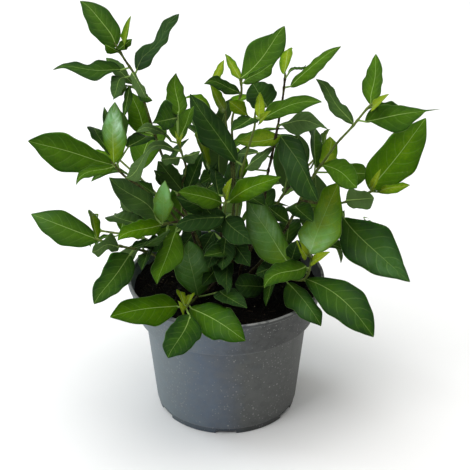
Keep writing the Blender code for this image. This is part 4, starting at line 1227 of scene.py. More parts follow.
@dataclass(frozen=True)
class PlasticFinish:
    """Matt moulded pot plastic, with dust, dried water marks and rubbed edges, and painted light and
    shade.
    """

    grey: tuple[float, float, float, float] = (0.068, 0.071, 0.070, 1.0)
    # Painted light across the pot: lighter and bluer to the left, where light falls and reflects, and
    # darker and neutral to the right, in shade.
    side: tuple[tuple[float, tuple[float, float, float]], ...] = (
        (0.0, (0.150, 0.188, 0.205)), (0.15, (0.136, 0.172, 0.196)), (0.33, (0.098, 0.130, 0.176)),
        (0.52, (0.086, 0.103, 0.128)), (0.70, (0.074, 0.079, 0.076)), (1.0, (0.076, 0.078, 0.071)))
    # Colour of the dust, water marks and scuffs, and of the painted edge highlight.
    dust_and_edge_highlight: tuple[float, float, float, float] = (0.30, 0.30, 0.29, 1.0)
    # Colour of the painted shade.
    shade: tuple[float, float, float, float] = (0.016, 0.018, 0.018, 1.0)

    def material(self, effects: Effects) -> bpy.types.Material:
        """Make the material from the place on the pot and the piece's edge value."""
        material, graph, shader = new_material("pot_plastic_grey", Specular_IOR_Level=0.25)
        place = graph.place()
        cloud = graph.use(effects.mottle, Place=place, Scale=22.0).outputs["Value"]
        fine = graph.use(effects.mottle, Place=place, Scale=160.0).outputs["Value"]
        # Colour by place across the pot: painted light on the left, painted shade on the right.
        across = graph.add("ShaderNodeSeparateXYZ", {0: place}).outputs[0]
        across = graph.maths("MULTIPLY_ADD", graph.maths("SUBTRACT", cloud, 0.5), 0.02, across)
        colour = graph.ramp(graph.span(across, -RIM_RADIUS * MM, RIM_RADIUS * MM), self.side)
        colour = graph.blend(graph.maths("MULTIPLY", fine, 0.2), colour, self.grey)
        # Painted shade: the collar darker on its right, a dark band at the rim lip, and a darker band on
        # the foot near the floor.
        height = graph.add("ShaderNodeSeparateXYZ", {0: place}).outputs[2]
        step = (POT_HEIGHT - COLLAR_HEIGHT) * MM
        collar = graph.maths("MULTIPLY", graph.span(height, step - MM, step + 3 * MM, 0.0, 0.7),
                             graph.span(across, -0.01, 0.04))
        lip = (POT_HEIGHT - RIM_LIP_HEIGHT) * MM
        shade = graph.maths("MAXIMUM", collar, graph.span(height, lip - MM, lip, 0.0, 0.5))
        foot = FOOT_HEIGHT * MM
        shade = graph.maths("MAXIMUM", shade, graph.span(height, foot, foot - MM, 0.0, 0.38))
        colour = graph.blend(shade, colour, self.shade)
        small = graph.use(effects.specks, Place=place, Scale=420.0, Size=0.32, Cover=0.5)
        large = graph.use(effects.specks, Place=place, Scale=170.0, Size=0.19, Cover=0.3)
        film = graph.maths("MULTIPLY", graph.span(cloud, 0.5, 1.0), 0.05)
        stretch = graph.add("ShaderNodeMapping", {"Vector": place, "Scale": (1.0, 1.0, 7.0),
                                                  "Rotation": (0.5, 0.3, 0.0)})
        scuff = graph.span(graph.noise(stretch.outputs[0], 38.0, 3.0, 0.7), 0.68, 0.74, 0.0, 0.4)
        scuff = graph.maths("MULTIPLY", scuff, graph.span(fine, 0.45, 0.8))
        # Pale lines along the rim, lip, collar foot and foot ring: partly rubbed wear, partly a painted
        # edge highlight.
        edge = graph.maths("MULTIPLY", graph.value("edge"), graph.span(fine, 0.1, 0.7, 0.25, 0.9))
        marks = graph.maths("ADD", graph.maths("MULTIPLY", small.outputs["Mask"], 0.55),
                            graph.maths("MULTIPLY", large.outputs["Mask"], 0.75))
        marks = graph.maths("MAXIMUM", marks, scuff)
        marks = graph.maths("MAXIMUM", marks, graph.maths("MULTIPLY", edge, 0.75))
        marks = graph.maths("ADD", marks, film, clamp=True)
        graph.feed(shader.inputs["Base Color"], graph.blend(marks, colour, self.dust_and_edge_highlight))
        rough = graph.maths("MULTIPLY_ADD", marks, 0.3, 0.55)
        graph.feed(shader.inputs["Roughness"], rough)
        bump = graph.add("ShaderNodeBump", {"Height": fine, "Strength": 0.25,
                                            "Distance": 0.0003})
        graph.feed(shader.inputs["Normal"], bump.outputs["Normal"])
        return material


@dataclass(frozen=True)
class SoilFinish:
    """Damp peat: near black, with brown crumbs and the odd glint of moisture."""

    wet: tuple[float, float, float, float] = (0.0012, 0.0011, 0.0010, 1.0)
    dry: tuple[float, float, float, float] = (0.005, 0.004, 0.003, 1.0)

    def material(self, effects: Effects) -> bpy.types.Material:
        """Make the material from the place in the soil."""
        material, graph, shader = new_material("damp_peat", Specular_IOR_Level=0.04)
        place = graph.place()
        cloud = graph.use(effects.mottle, Place=place, Scale=150.0).outputs["Value"]
        crumbs = graph.use(effects.specks, Place=place, Scale=450.0, Size=0.35, Cover=0.3)
        colour = graph.blend(cloud, self.wet, self.dry)
        colour = graph.blend(crumbs.outputs["Mask"], colour, (0.03, 0.02, 0.012, 1.0))
        graph.feed(shader.inputs["Base Color"], colour)
        graph.feed(shader.inputs["Roughness"], graph.maths("MULTIPLY_ADD", cloud, 0.35, 0.5))
        bump = graph.add("ShaderNodeBump", {"Height": graph.noise(place, 500.0, 4.0, 0.65),
                                            "Strength": 0.9, "Distance": 0.0012})
        graph.feed(shader.inputs["Normal"], bump.outputs["Normal"])
        return material


@dataclass(frozen=True)
class LitterFinish:
    """Peat fibres and bark chips: from black-brown to straw, one shade a piece."""

    stops: tuple[tuple[float, tuple[float, float, float]], ...] = (
        (0.0, (0.005, 0.004, 0.003)), (0.6, (0.020, 0.014, 0.009)), (0.9, (0.09, 0.065, 0.04)),
        (1.0, (0.36, 0.30, 0.22)))

    def material(self, effects: Effects) -> bpy.types.Material:
        """Make the material from the piece's shade value and its place."""
        material, graph, shader = new_material("peat_fibre", Specular_IOR_Level=0.12)
        cloud = graph.use(effects.mottle, Place=graph.place(), Scale=300.0).outputs["Value"]
        shade = graph.maths("MULTIPLY_ADD", graph.maths("SUBTRACT", cloud, 0.5), 0.12,
                            graph.value("shade"))
        graph.feed(shader.inputs["Base Color"], graph.ramp(shade, self.stops))
        graph.feed(shader.inputs["Roughness"], graph.maths("MULTIPLY_ADD", cloud, 0.2, 0.7))
        return material


@dataclass(frozen=True)
class FloorFinish:
    """Plain matt studio paper."""

    white: tuple[float, float, float, float] = (0.875, 0.868, 0.868, 1.0)

    def material(self) -> bpy.types.Material:
        """Make the material: a plain white with the least grain."""
        material, graph, shader = new_material("studio_paper", Roughness=0.9,
                                               Specular_IOR_Level=0.1)
        grain = graph.noise(graph.place(), 40.0, 2.0)
        graph.feed(shader.inputs["Base Color"],
                   graph.blend(grain, self.white, (0.88, 0.873, 0.873, 1.0)))
        return material


@dataclass
class Foliage:
    """Turns blades into thin closed leaves with their stalks and midribs."""

    stations: int = 41
    across: int = 19
    crowd: float = 1.35
    thickness: float = 0.42
    groove: float = 0.05
    vein_pairs: float = 7.0
    quilt: float = 0.40
    wave_height: float = 0.9
    margin_play: float = 0.045
    rib_radius: tuple[float, float] = (0.75, 0.16)
    stalk_sides: int = 8

    def sheet(self, blade: Blade, t: np.ndarray, u: np.ndarray) -> tuple[np.ndarray, np.ndarray]:
        """Place points of a blade's middle surface.

        The midrib is the straight line from base to tip plus arch 4t(1-t) along the face, bow and
        sway aside, and curl down past 0.6 of the length. Each half then rises by half the width
        times the fold's slope, steep at the midrib and level at the margin, with waves along the
        margin and a groove over each vein.

        Args:
            blade: The leaf.
            t: The share of the length, 0 at the base.
            u: The share of the half width, from -1 at one margin to 1 at the other.

        Returns:
            The points, and the offsets from the midrib in millimetres.
        """
        draw = np.random.default_rng(blade.seed + 1)
        chord = unit(blade.tip - blade.base)
        face = unit(blade.face - np.dot(blade.face, chord) * chord)
        side = np.cross(face, chord)
        swell = 4.0 * t * (1.0 - t)
        uneven = draw.uniform(0.0, math.tau, 4)
        margin = (np.sin(math.tau * 1.3 * t + uneven[0] + uneven[1] * (u > 0))
                  + 0.6 * np.sin(math.tau * 2.9 * t + uneven[2] + uneven[3] * (u > 0)))
        play = 1.0 + self.margin_play * min(blade.wave, 2.0) * margin * swell
        half = 0.5 * blade.width * outline(blade, t) * play
        slope = math.tan(math.radians(blade.fold))
        fullness = np.maximum(half - PETIOLE_RADIUS, 0.0) * slope
        aside = (blade.bow * swell + blade.sway * np.sin(math.tau * t)
                 - blade.lean * (blade.arch * swell + LIFT_SHARE * fullness))
        off = np.abs(u)
        soft = np.sqrt(off ** 2 + self.groove ** 2) - self.groove
        lift = half * slope * soft * (1.45 - 0.5 * off)
        phase = draw.uniform(0.0, math.tau, 4)
        rate = draw.uniform(1.2, 2.6, 2)
        ripple = (np.sin(math.tau * rate[0] * t + phase[0] + 1.4 * (u > 0))
                  + 0.5 * np.sin(math.tau * 2.1 * rate[1] * t + phase[1] + 2.2 * (u < 0)))
        relief = self.wave_height * blade.wave * ripple * off ** 2 * swell * (half / 12.0)
        bent = t - 0.10 * off - 0.15 * off ** 2
        step = bent * self.vein_pairs + 0.21 * np.sign(u)
        gap = np.abs(step - np.floor(step) - 0.5)
        relief = relief - self.quilt * np.exp(-(gap / 0.16) ** 2) * np.clip(
            off * 6.0, 0.0, 1.0) * (1.0 - off ** 4) * (half / 12.0)
        curl = blade.curl * np.clip((t - 0.55) / 0.45, 0.0, None) ** 2
        turn = math.radians(blade.twist) * (t - 0.35)
        offset = u * half
        reach = offset * np.cos(turn) - lift * np.sin(turn)
        rise = offset * np.sin(turn) + lift * np.cos(turn)
        along = blade.base + t[..., None] * (blade.tip - blade.base)
        points = (along + (blade.arch * swell - curl + rise)[..., None] * face
                  + (aside + reach)[..., None] * side)
        if blade.sighting:
            points = self.follow(blade, t, u, points, play)
        return points + relief[..., None] * face, offset

    def follow(self, blade: Blade, t: np.ndarray, u: np.ndarray, points: np.ndarray,
               play: np.ndarray) -> np.ndarray:
        """Move points across the picture, at their own depth, to where the sighting shows them.

        The picture shows a point t of the way along the line from base to tip, and aside of it
        by the midrib's offset plus u of the way from there to the margin's.

        Args:
            blade: The leaf.
            t: The share of the length, 0 at the base.
            u: The share of the half width, from -1 at one margin to 1 at the other.
            points: The points as the leaf's own shape has them.
            play: How far the margin waves in and out, as a factor.

        Returns:
            The points, moved at right angles to the camera's axis.
        """
        leaf = blade.sighting
        base, tip = to_picture(blade.base), to_picture(blade.tip)
        leftward = np.array([tip[1] - base[1], base[0] - tip[0]])
        leftward = unit(leftward)
        middle = (blade.base + blade.tip) / 2
        side = np.cross(blade.face, unit(blade.tip - blade.base))
        turned_left = (to_picture(middle + side) - to_picture(middle)) @ leftward > 0
        rib, shape = np.array(leaf.rib), outline(blade, QUARTERS)
        halves = [shape_through(t, np.maximum(np.array(half), LEAST_SEEN), shape)
                  for half in (leaf.left - rib, leaf.right + rib)]
        on_left = (u > 0) == turned_left
        half = outline(blade, t) * play * np.where(on_left, halves[0], -halves[1])
        aside = 4.0 * t * (1.0 - t) * shape_through(t, rib, 4.0 * QUARTERS * (1.0 - QUARTERS))
        seen = base + t[..., None] * (tip - base) + (aside + np.abs(u) * half)[..., None] * leftward
        shift = seen - to_picture(points)
        scale = ((points - CAMERA) @ FORWARD / LENS_PIXELS)[..., None]
        return points + scale * (shift[..., :1] * ACROSS - shift[..., 1:] * UPWARD)

    def sheen(self, blade: Blade, t: np.ndarray) -> np.ndarray:
        """Give how strongly a blade shines, for its painted sheen and its coat: a bell about its sheen's
        middle, by its spread.
        """
        strength, middle, spread = blade.sheen
        return strength * np.exp(-((t - middle) / spread) ** 2)

    def add_leaf(self, skin: Skin, blade: Blade) -> None:
        """Add a leaf's blade as one closed sheet: its upper face, then its lower one, in a ring.

        Args:
            skin: The piece that it joins.
            blade: The leaf.
        """
        draw = np.random.default_rng(blade.seed + 7)
        ramp = np.linspace(-1.0, 1.0, self.across)
        upper = np.sign(ramp) * np.abs(ramp) ** self.crowd
        ring = np.concatenate([upper, upper[-2:0:-1]])
        below = np.concatenate([np.zeros(self.across), np.ones(self.across - 2)])
        t = 0.5 - 0.5 * np.cos(np.linspace(0.06, math.pi - 0.04, self.stations))
        grid_t, grid_u = np.meshgrid(t, ring, indexing="ij")
        points, offset = self.sheet(blade, grid_t, grid_u)
        chord = unit(blade.tip - blade.base)
        face = unit(blade.face - np.dot(blade.face, chord) * chord)
        thick = 0.5 * self.thickness * np.sqrt(1.0 - 0.96 * np.abs(ring) ** 6)
        sides = np.where(below > 0.5, -1.0, 1.0) * thick
        points = points + sides[None, :, None] * face
        ends, _ = self.sheet(blade, np.array([0.0, 1.0]), np.array([0.0, 0.0]))
        corners = np.concatenate([points.reshape(-1, 3), ends])
        age, grey, gloss = blade.tone.value
        values = {
            "across": np.concatenate([grid_u.ravel(), [0.0, 0.0]]),
            "along": np.concatenate([grid_t.ravel(), [0.0, 1.0]]),
            "offset": np.concatenate([offset.ravel(), [0.0, 0.0]]),
            "below": np.concatenate([np.tile(below, self.stations), [0.0, 0.0]]),
            "age": age + blade.shade + draw.uniform(-0.04, 0.04), "grey": grey,
            "gloss": gloss * draw.uniform(0.85, 1.1),
            "sheen": np.concatenate([self.sheen(blade, grid_t).ravel(), [0.0, 0.0]])}
        faces = [part[:, ::-1] for part in fan(self.stations, len(ring))]
        skin.add(corners, faces, **values)
        self.add_stalk(skin, blade, age, grey)

    def add_stalk(self, skin: Skin, blade: Blade, age: float, grey: float) -> None:
        """Add a leaf's stalk as a tapered tube that goes on under the blade as its midrib.

        Args:
            skin: The piece that it joins.
            blade: The leaf.
            age: The leaf's age.
            grey: How grey it is.
        """
        chord = unit(blade.tip - blade.base)
        face = unit(blade.face - np.dot(blade.face, chord) * chord)
        t = np.linspace(0.03, 0.93, 16)
        radii = self.rib_radius[0] + (self.rib_radius[1] - self.rib_radius[0]) * t ** 0.6
        rib, _ = self.sheet(blade, t, np.zeros_like(t))
        rib = rib - (radii - 0.12)[:, None] * face
        start = [blade.root, (blade.root + rib[0]) / 2, *rib[:2]]
        stalk = np.array(smooth_route(start, 0.9)[:-2])
        route = np.concatenate([stalk, rib[1:]])
        thick = np.concatenate([np.linspace(self.rib_radius[0] * 1.15, radii[0], len(stalk)),
                                radii[1:]])
        corners, faces = tube(route, thick, self.stalk_sides)
        skin.add(corners, faces, across=0.0, along=0.3, offset=0.0, below=0.4,
                 age=min(age, 0.5), grey=grey, gloss=0.4, sheen=0.0)

    def build(self, name: str, blades: list[Blade], finish: bpy.types.Material) -> bpy.types.Object:
        """Make one stem's leaves."""
        skin = Skin()
        for blade in blades:
            self.add_leaf(skin, blade)
        return skin.make(name, finish)


@dataclass
class Woodwork:
    """Turns routes into round tapered twigs, thicker where leaves leave them."""

    spacing: float = 1.6
    sides: int = 12
    knuckle: float = 0.38
    knuckle_length: float = 1.6
    bud_length: float = 4.5
    rough: float = 0.05
    slimness: float = 0.68

    def add_twig(self, skin: Skin, shoot: Shoot, seed: int) -> None:
        """Add one twig.

        Its radius falls evenly along it, times 1 + knuckle exp(-(gap / length)^2) at each leaf,
        and closes in a bud past its last point.

        Args:
            skin: The piece that it joins.
            shoot: The twig.
            seed: Where its small bumps come from.
        """
        draw = np.random.default_rng(seed)
        route = np.array(smooth_route(shoot.route, self.spacing))
        heading = unit(route[-1] - route[-3])
        bud = np.linspace(0.15, 1.0, 7)
        route = np.concatenate([route, route[-1] + self.bud_length * bud[:, None] * heading])
        share = np.linspace(0.0, 1.0, len(route))
        radius = shoot.thick[0] + (shoot.thick[1] - shoot.thick[0]) * share
        roots = np.array([blade.root for blade in shoot.blades])
        gap = np.linalg.norm(route[:, None] - roots[None], axis=2).min(axis=1)
        swell = 1.0 + self.knuckle * np.exp(-(gap / self.knuckle_length) ** 2)
        bumps = 1.0 + self.rough * draw.standard_normal(len(route))
        radius = self.slimness * radius * swell * bumps
        radius[-7:] = self.slimness * shoot.thick[1] * np.sqrt(1.0 - bud ** 2 * 0.97)
        corners, faces = tube(route, radius, self.sides)
        youth = shoot.green[0] + (shoot.green[1] - shoot.green[0]) * share
        youth = np.concatenate([np.repeat(youth, self.sides), youth[[0, -1]]])
        skin.add(corners, faces, youth=youth)

    def build(self, name: str, shoots: list[Shoot], finish: bpy.types.Material) -> bpy.types.Object:
        """Make one stem's twigs."""
        skin = Skin()
        for index, shoot in enumerate(shoots):
            self.add_twig(skin, shoot, 11 * index + len(name))
        return skin.make(name, finish)


def rounded(corners: list[tuple[float, float]], radius: float, steps: int = 4) -> np.ndarray:
    """Round a profile's corners.

    Each corner is replaced by a curve (1-s)^2 before + 2s(1-s) corner + s^2 after, where before
    and after lie one radius away from it, or a third of the side if that is less.

    Args:
        corners: The profile's points (radius, height).
        radius: How far back from each corner the curve begins.
        steps: Points on each curve.

    Returns:
        The rounded profile; its two ends stay.
    """
    marks = np.array(corners)
    span = np.diff(marks, axis=0)
    length = np.linalg.norm(span, axis=1)
    reach = np.minimum(radius, length / 3.0)
    share = np.linspace(0.0, 1.0, steps)[None, :, None]
    corner = marks[1:-1, None]
    before = corner - (span[:-1] * (reach / length)[:-1, None])[:, None]
    after = corner + (span[1:] * (reach / length)[1:, None])[:, None]
    curve = (1 - share) ** 2 * before + 2 * share * (1 - share) * corner + share ** 2 * after
    return np.concatenate([marks[:1], curve.reshape(-1, 2), marks[-1:]])


def revolve(profile: np.ndarray, angles: np.ndarray) -> tuple[np.ndarray, list[np.ndarray]]:
    """Turn a profile that starts and ends on the axis: (r cos a, r sin a, height).

    Args:
        profile: Points (radius, height), from the underside's middle round the outside.
        angles: The turn of each column, in radians.

    Returns:
        The corners, the two poles last, and the faces.
    """
    r, z = profile[1:-1, 0:1], profile[1:-1, 1:2]
    ring = np.stack([r * np.cos(angles), r * np.sin(angles), np.broadcast_to(
        z, (len(r), len(angles)))], axis=-1).reshape(-1, 3)
    poles = np.array([[0.0, 0.0, profile[0, 1]], [0.0, 0.0, profile[-1, 1]]])
    return np.concatenate([ring, poles]), fan(len(r), len(angles))


def inner_wall(gap: float) -> list[tuple[float, float]]:
    """Give the pot's inner wall from the collar down to the floor, drawn in by a gap."""
    ledge = POT_HEIGHT - COLLAR_HEIGHT + WALL
    floor_top = FLOOR_LIFT + FLOOR_THICKNESS
    return [(COLLAR_FOOT_RADIUS - WALL - gap, ledge + gap),
            (BODY_TOP_RADIUS - WALL - gap, ledge + gap),
            (BASE_RADIUS + FOOT_STEP - WALL - gap, floor_top + gap)]


@dataclass
class Pot:
    """The nursery pot: collar, tapered body, notched foot ring and drained floor."""

    corner_radius: float = 0.7
    columns: int = 180
    drain_count: int = 6
    drain_radius: float = 5.0
    drain_circle: float = 40.0
    bead_drop: float = 5.2
    bead: float = 0.28

    def profile(self) -> np.ndarray:
        """Give the half section with rounded corners."""
        collar_foot = POT_HEIGHT - COLLAR_HEIGHT
        lip_foot = POT_HEIGHT - RIM_LIP_HEIGHT
        floor_top = FLOOR_LIFT + FLOOR_THICKNESS
        marks = [
            (0.0, 0.0), (PAD_RADIUS, 0.0), (PAD_RADIUS + PAD_SLOPE, FLOOR_LIFT),
            (BASE_RADIUS - FOOT_RING, FLOOR_LIFT), (BASE_RADIUS - FOOT_RING, 0.0),
            (BASE_RADIUS, 0.0), (BASE_RADIUS, FOOT_HEIGHT),
            (BASE_RADIUS + FOOT_STEP, FOOT_HEIGHT), (BODY_TOP_RADIUS, collar_foot),
            (COLLAR_FOOT_RADIUS, collar_foot), (RIM_RADIUS - LIP_STEP, lip_foot),
            (RIM_RADIUS, lip_foot), (RIM_RADIUS, POT_HEIGHT),
            (RIM_RADIUS - RIM_LIP, POT_HEIGHT), *inner_wall(0.0),
            (PAD_RADIUS + PAD_SLOPE, floor_top), (PAD_RADIUS, FLOOR_THICKNESS),
            (0.0, FLOOR_THICKNESS)]
        return rounded(marks, self.corner_radius)

    def build(self, finish: bpy.types.Material) -> bpy.types.Object:
        """Turn the pot, lift its foot at each notch, and drill its drain holes.

        A notch lifts the foot ring's lowest points to its own height between two angles.
        """
        half = NOTCH_WIDTH / 2 / BASE_RADIUS
        middles = math.tau * np.arange(NOTCH_COUNT) / NOTCH_COUNT - math.pi / 2
        sides = np.concatenate([middles - half, middles + half])
        angles = np.concatenate([np.linspace(-math.pi, math.pi, self.columns, endpoint=False),
                                 sides - 0.002, sides + 0.002])
        angles = np.unique(np.round(np.mod(angles, math.tau), 5))
        corners, faces = revolve(self.profile(), angles)
        turn = np.mod(np.arctan2(corners[:, 1], corners[:, 0]) + math.pi / 2
                      + math.pi / NOTCH_COUNT, math.tau / NOTCH_COUNT) - math.pi / NOTCH_COUNT
        radius = np.hypot(corners[:, 0], corners[:, 1])
        foot = (np.abs(turn) < half) & (radius > BASE_RADIUS - FOOT_RING - 1.0)
        foot &= (corners[:, 2] < NOTCH_HEIGHT) & (radius < BASE_RADIUS + 1.0)
        corners[foot, 2] = NOTCH_HEIGHT
        # Edge values for pale lines at the rim, lip, collar foot and foot: partly rubbed wear, partly a
        # painted edge highlight.
        edge = np.zeros(len(corners))
        for mark in (POT_HEIGHT, POT_HEIGHT - RIM_LIP_HEIGHT, POT_HEIGHT - COLLAR_HEIGHT,
                     FOOT_HEIGHT):
            edge = np.maximum(edge, np.exp(-((corners[:, 2] - mark) / 0.5) ** 2))
        skin = Skin()
        skin.add(corners, faces, edge=edge)
        pot = skin.make("nursery_pot", finish)
        self.drill(pot)
        shade_by_angle(pot, 32.0)
        return pot

    def drill(self, pot: bpy.types.Object) -> None:
        """Cut the drain holes through the floor."""
        turn = math.tau * (np.arange(self.drain_count) + 0.5) / self.drain_count - math.pi / 2
        round_hole = rounded([(0.0, FLOOR_LIFT - 1.0), (self.drain_radius, FLOOR_LIFT - 1.0),
                              (self.drain_radius, FLOOR_LIFT + FLOOR_THICKNESS + 1.0),
                              (0.0, FLOOR_LIFT + FLOOR_THICKNESS + 1.0)], 0.01, 2)
        skin = Skin()
        for angle in turn:
            corners, faces = revolve(round_hole, np.linspace(0.0, math.tau, 24, endpoint=False))
            place = self.drain_circle * np.array([math.cos(angle), math.sin(angle), 0.0])
            skin.add(corners + place, faces)
        drills = skin.make("drills", pot.active_material)
        cut = pot.modifiers.new("drain_holes", "BOOLEAN")
        cut.operation, cut.object, cut.solver = "DIFFERENCE", drills, "EXACT"
        shape = bpy.data.meshes.new_from_object(
            pot.evaluated_get(bpy.context.evaluated_depsgraph_get()))
        pot.modifiers.remove(cut)
        pot.data = shape
        bpy.data.objects.remove(drills)


def shade_by_angle(piece: bpy.types.Object, degrees: float) -> None:
    """Shade a piece smooth, with sharp edges where its faces turn by more than an angle."""
    piece.data.shade_smooth()
    piece.data.set_sharp_from_angle(angle=math.radians(degrees))


@dataclass
class SoilBed:
    """The soil in the pot, with the fibres and chips that lie on it."""

    rings: int = 64
    columns: int = 160
    waves: int = 26
    crumb_height: float = 0.85
    fibre_count: int = 620
    chip_count: int = 420
    seed: int = 12

    def height(self, x: np.ndarray, y: np.ndarray) -> np.ndarray:
        """Give the soil's height: a low dome, broad lumps, and seeded waves of falling length.

        Args:
            x: Places to the right.
            y: Places to the back.

        Returns:
            The heights in millimetres.
        """
        draw = np.random.default_rng(self.seed)
        dome = SOIL_DOME * (1.0 - (x ** 2 + y ** 2) / RIM_RADIUS ** 2)
        lumps = (np.sin(0.11 * x + 0.8) * np.cos(0.13 * y - 0.4)
                 + 0.6 * np.sin(0.23 * x - 0.19 * y + 2.1))
        angle = draw.uniform(0.0, math.tau, self.waves)
        length = np.geomspace(22.0, 3.2, self.waves)
        phase = draw.uniform(0.0, math.tau, self.waves)
        way = (x[..., None] * np.cos(angle) + y[..., None] * np.sin(angle)) * math.tau / length
        crumbs = (np.sin(way + phase) * (length / 22.0) ** 0.55).sum(axis=-1)
        return SOIL_LEVEL + dome + SOIL_BUMP * lumps + self.crumb_height * crumbs / 3.0

    def edge(self) -> float:
        """Give the radius at which the soil's surface meets the collar."""
        collar = COLLAR_FOOT_RADIUS - WALL
        rise = (SOIL_LEVEL - (POT_HEIGHT - COLLAR_HEIGHT + WALL)) / (COLLAR_HEIGHT - WALL)
        return collar + rise * (RIM_RADIUS - RIM_LIP - collar) - FIT_GAP

    def build(self, finish: bpy.types.Material) -> bpy.types.Object:
        """Turn the bed's outline and raise its top to the height of the soil."""
        edge = self.edge()
        collar, ledge, floor = inner_wall(FIT_GAP)
        top = [(edge * (1.0 - ring / self.rings), SOIL_LEVEL) for ring in range(self.rings + 1)]
        marks = [(0.0, FLOOR_THICKNESS + FIT_GAP),
                 (PAD_RADIUS - FIT_GAP, FLOOR_THICKNESS + FIT_GAP),
                 (PAD_RADIUS + PAD_SLOPE - FIT_GAP, floor[1]), floor, ledge, collar, *top]
        angles = np.linspace(0.0, math.tau, self.columns, endpoint=False)
        corners, faces = revolve(np.array(marks), angles)
        surface = corners[:, 2] >= SOIL_LEVEL - 1e-6
        corners[surface, 2] = self.height(corners[surface, 0], corners[surface, 1])
        skin = Skin()
        skin.add(corners, faces)
        return skin.make("soil_bed", finish)

    def build_litter(self, finish: bpy.types.Material) -> bpy.types.Object:
        """Scatter fibres and chips on the soil.

        A fibre is a bent four-sided rod: points s across, sag s^2 up, turned about the vertical
        and tilted. A chip is a flattened eight-faced crumb. Both lie half sunk at random places.
        """
        draw = np.random.default_rng(self.seed + 1)
        skin = Skin()
        self.add_fibres(skin, draw)
        self.add_chips(skin, draw)
        return skin.make("soil_litter", finish)

    def scatter(self, draw: np.random.Generator, count: int) -> np.ndarray:
        """Give random places on the soil, evenly over its area."""
        radius = (self.edge() - 3.0) * np.sqrt(draw.uniform(0.0, 1.0, count))
        angle = draw.uniform(0.0, math.tau, count)
        x, y = radius * np.cos(angle), radius * np.sin(angle)
        return np.stack([x, y, self.height(x, y)], axis=-1)

    def add_fibres(self, skin: Skin, draw: np.random.Generator) -> None:
        """Add the fibres, all of them as one array."""
        count, steps = self.fibre_count, 5
        place = self.scatter(draw, count)
        length = draw.uniform(3.0, 11.0, count) ** 1.0
        thick = draw.uniform(0.10, 0.30, count)
        yaw, tilt = draw.uniform(0.0, math.tau, count), draw.normal(0.0, 0.16, count)
        sag = draw.normal(0.0, 0.9, count)
        s = np.linspace(-0.5, 0.5, steps)
        out = s[None] * length[:, None]
        aside = sag[:, None] * (4 * s ** 2 - 0.5)[None]
        x = out * np.cos(yaw)[:, None] - aside * np.sin(yaw)[:, None]
        y = out * np.sin(yaw)[:, None] + aside * np.cos(yaw)[:, None]
        z = out * np.sin(tilt)[:, None] + 0.3 * np.abs(aside)
        spine = place[:, None] + np.stack([x, y, z], axis=-1)
        limit = self.edge() - 0.8
        reach = np.hypot(spine[..., 0], spine[..., 1])
        spine[..., :2] *= np.minimum(1.0, limit / reach)[..., None]
        spine[..., 2] = np.maximum(spine[..., 2], self.height(spine[..., 0], spine[..., 1]) + 0.15)
        side = np.stack([-np.sin(yaw), np.cos(yaw), np.zeros(count)], axis=-1)
        taper = thick[:, None] * (1.0 - 3.2 * s ** 2)[None]
        ring = np.array([[-1.0, 0.0], [0.0, -1.0], [1.0, 0.0], [0.0, 1.0]])
        shape = (ring[None, None, :, 0:1] * side[:, None, None]
                 + ring[None, None, :, 1:2] * UP[None, None, None])
        corners = spine[:, :, None] + taper[:, :, None, None] * shape
        body = grid_faces(steps, 4, closed=True)
        caps = np.array([[3, 2, 1, 0], [4 * steps - 4, 4 * steps - 3, 4 * steps - 2, 4 * steps - 1]])
        faces = np.concatenate([body, caps])
        every = (faces[None] + (4 * steps) * np.arange(count)[:, None, None]).reshape(-1, 4)
        shade = np.clip(draw.beta(1.1, 2.0, count), 0.0, 1.0)
        skin.add(corners.reshape(-1, 3), [every], shade=np.repeat(shade, 4 * steps))

    def add_chips(self, skin: Skin, draw: np.random.Generator) -> None:
        """Add the chips and crumbs, all of them as one array."""
        count = self.chip_count
        place = self.scatter(draw, count)
        shape = np.array([[1, 0, 0], [0, 1, 0], [-1, 0, 0], [0, -1, 0], [0, 0, 1], [0, 0, -1]], float)
        size = draw.uniform(0.4, 1.5, (count, 1)) * np.array([[1.25, 0.8, 0.5]])
        size = size * draw.uniform(0.7, 1.3, (count, 3))
        yaw = draw.uniform(0.0, math.tau, count)
        local = shape[None] * size[:, None] * draw.uniform(0.75, 1.25, (count, 6, 1))
        x = local[..., 0] * np.cos(yaw)[:, None] - local[..., 1] * np.sin(yaw)[:, None]
        y = local[..., 0] * np.sin(yaw)[:, None] + local[..., 1] * np.cos(yaw)[:, None]
        corners = place[:, None] + np.stack([x, y, local[..., 2] + 0.2], axis=-1)
        faces = np.array([[0, 1, 4], [1, 2, 4], [2, 3, 4], [3, 0, 4],
                          [1, 0, 5], [2, 1, 5], [3, 2, 5], [0, 3, 5]])
        every = (faces[None] + 6 * np.arange(count)[:, None, None]).reshape(-1, 3)
        shade = np.clip(draw.beta(0.9, 1.6, count), 0.0, 1.0)
        skin.add(corners.reshape(-1, 3), [every], shade=np.repeat(shade, 6))


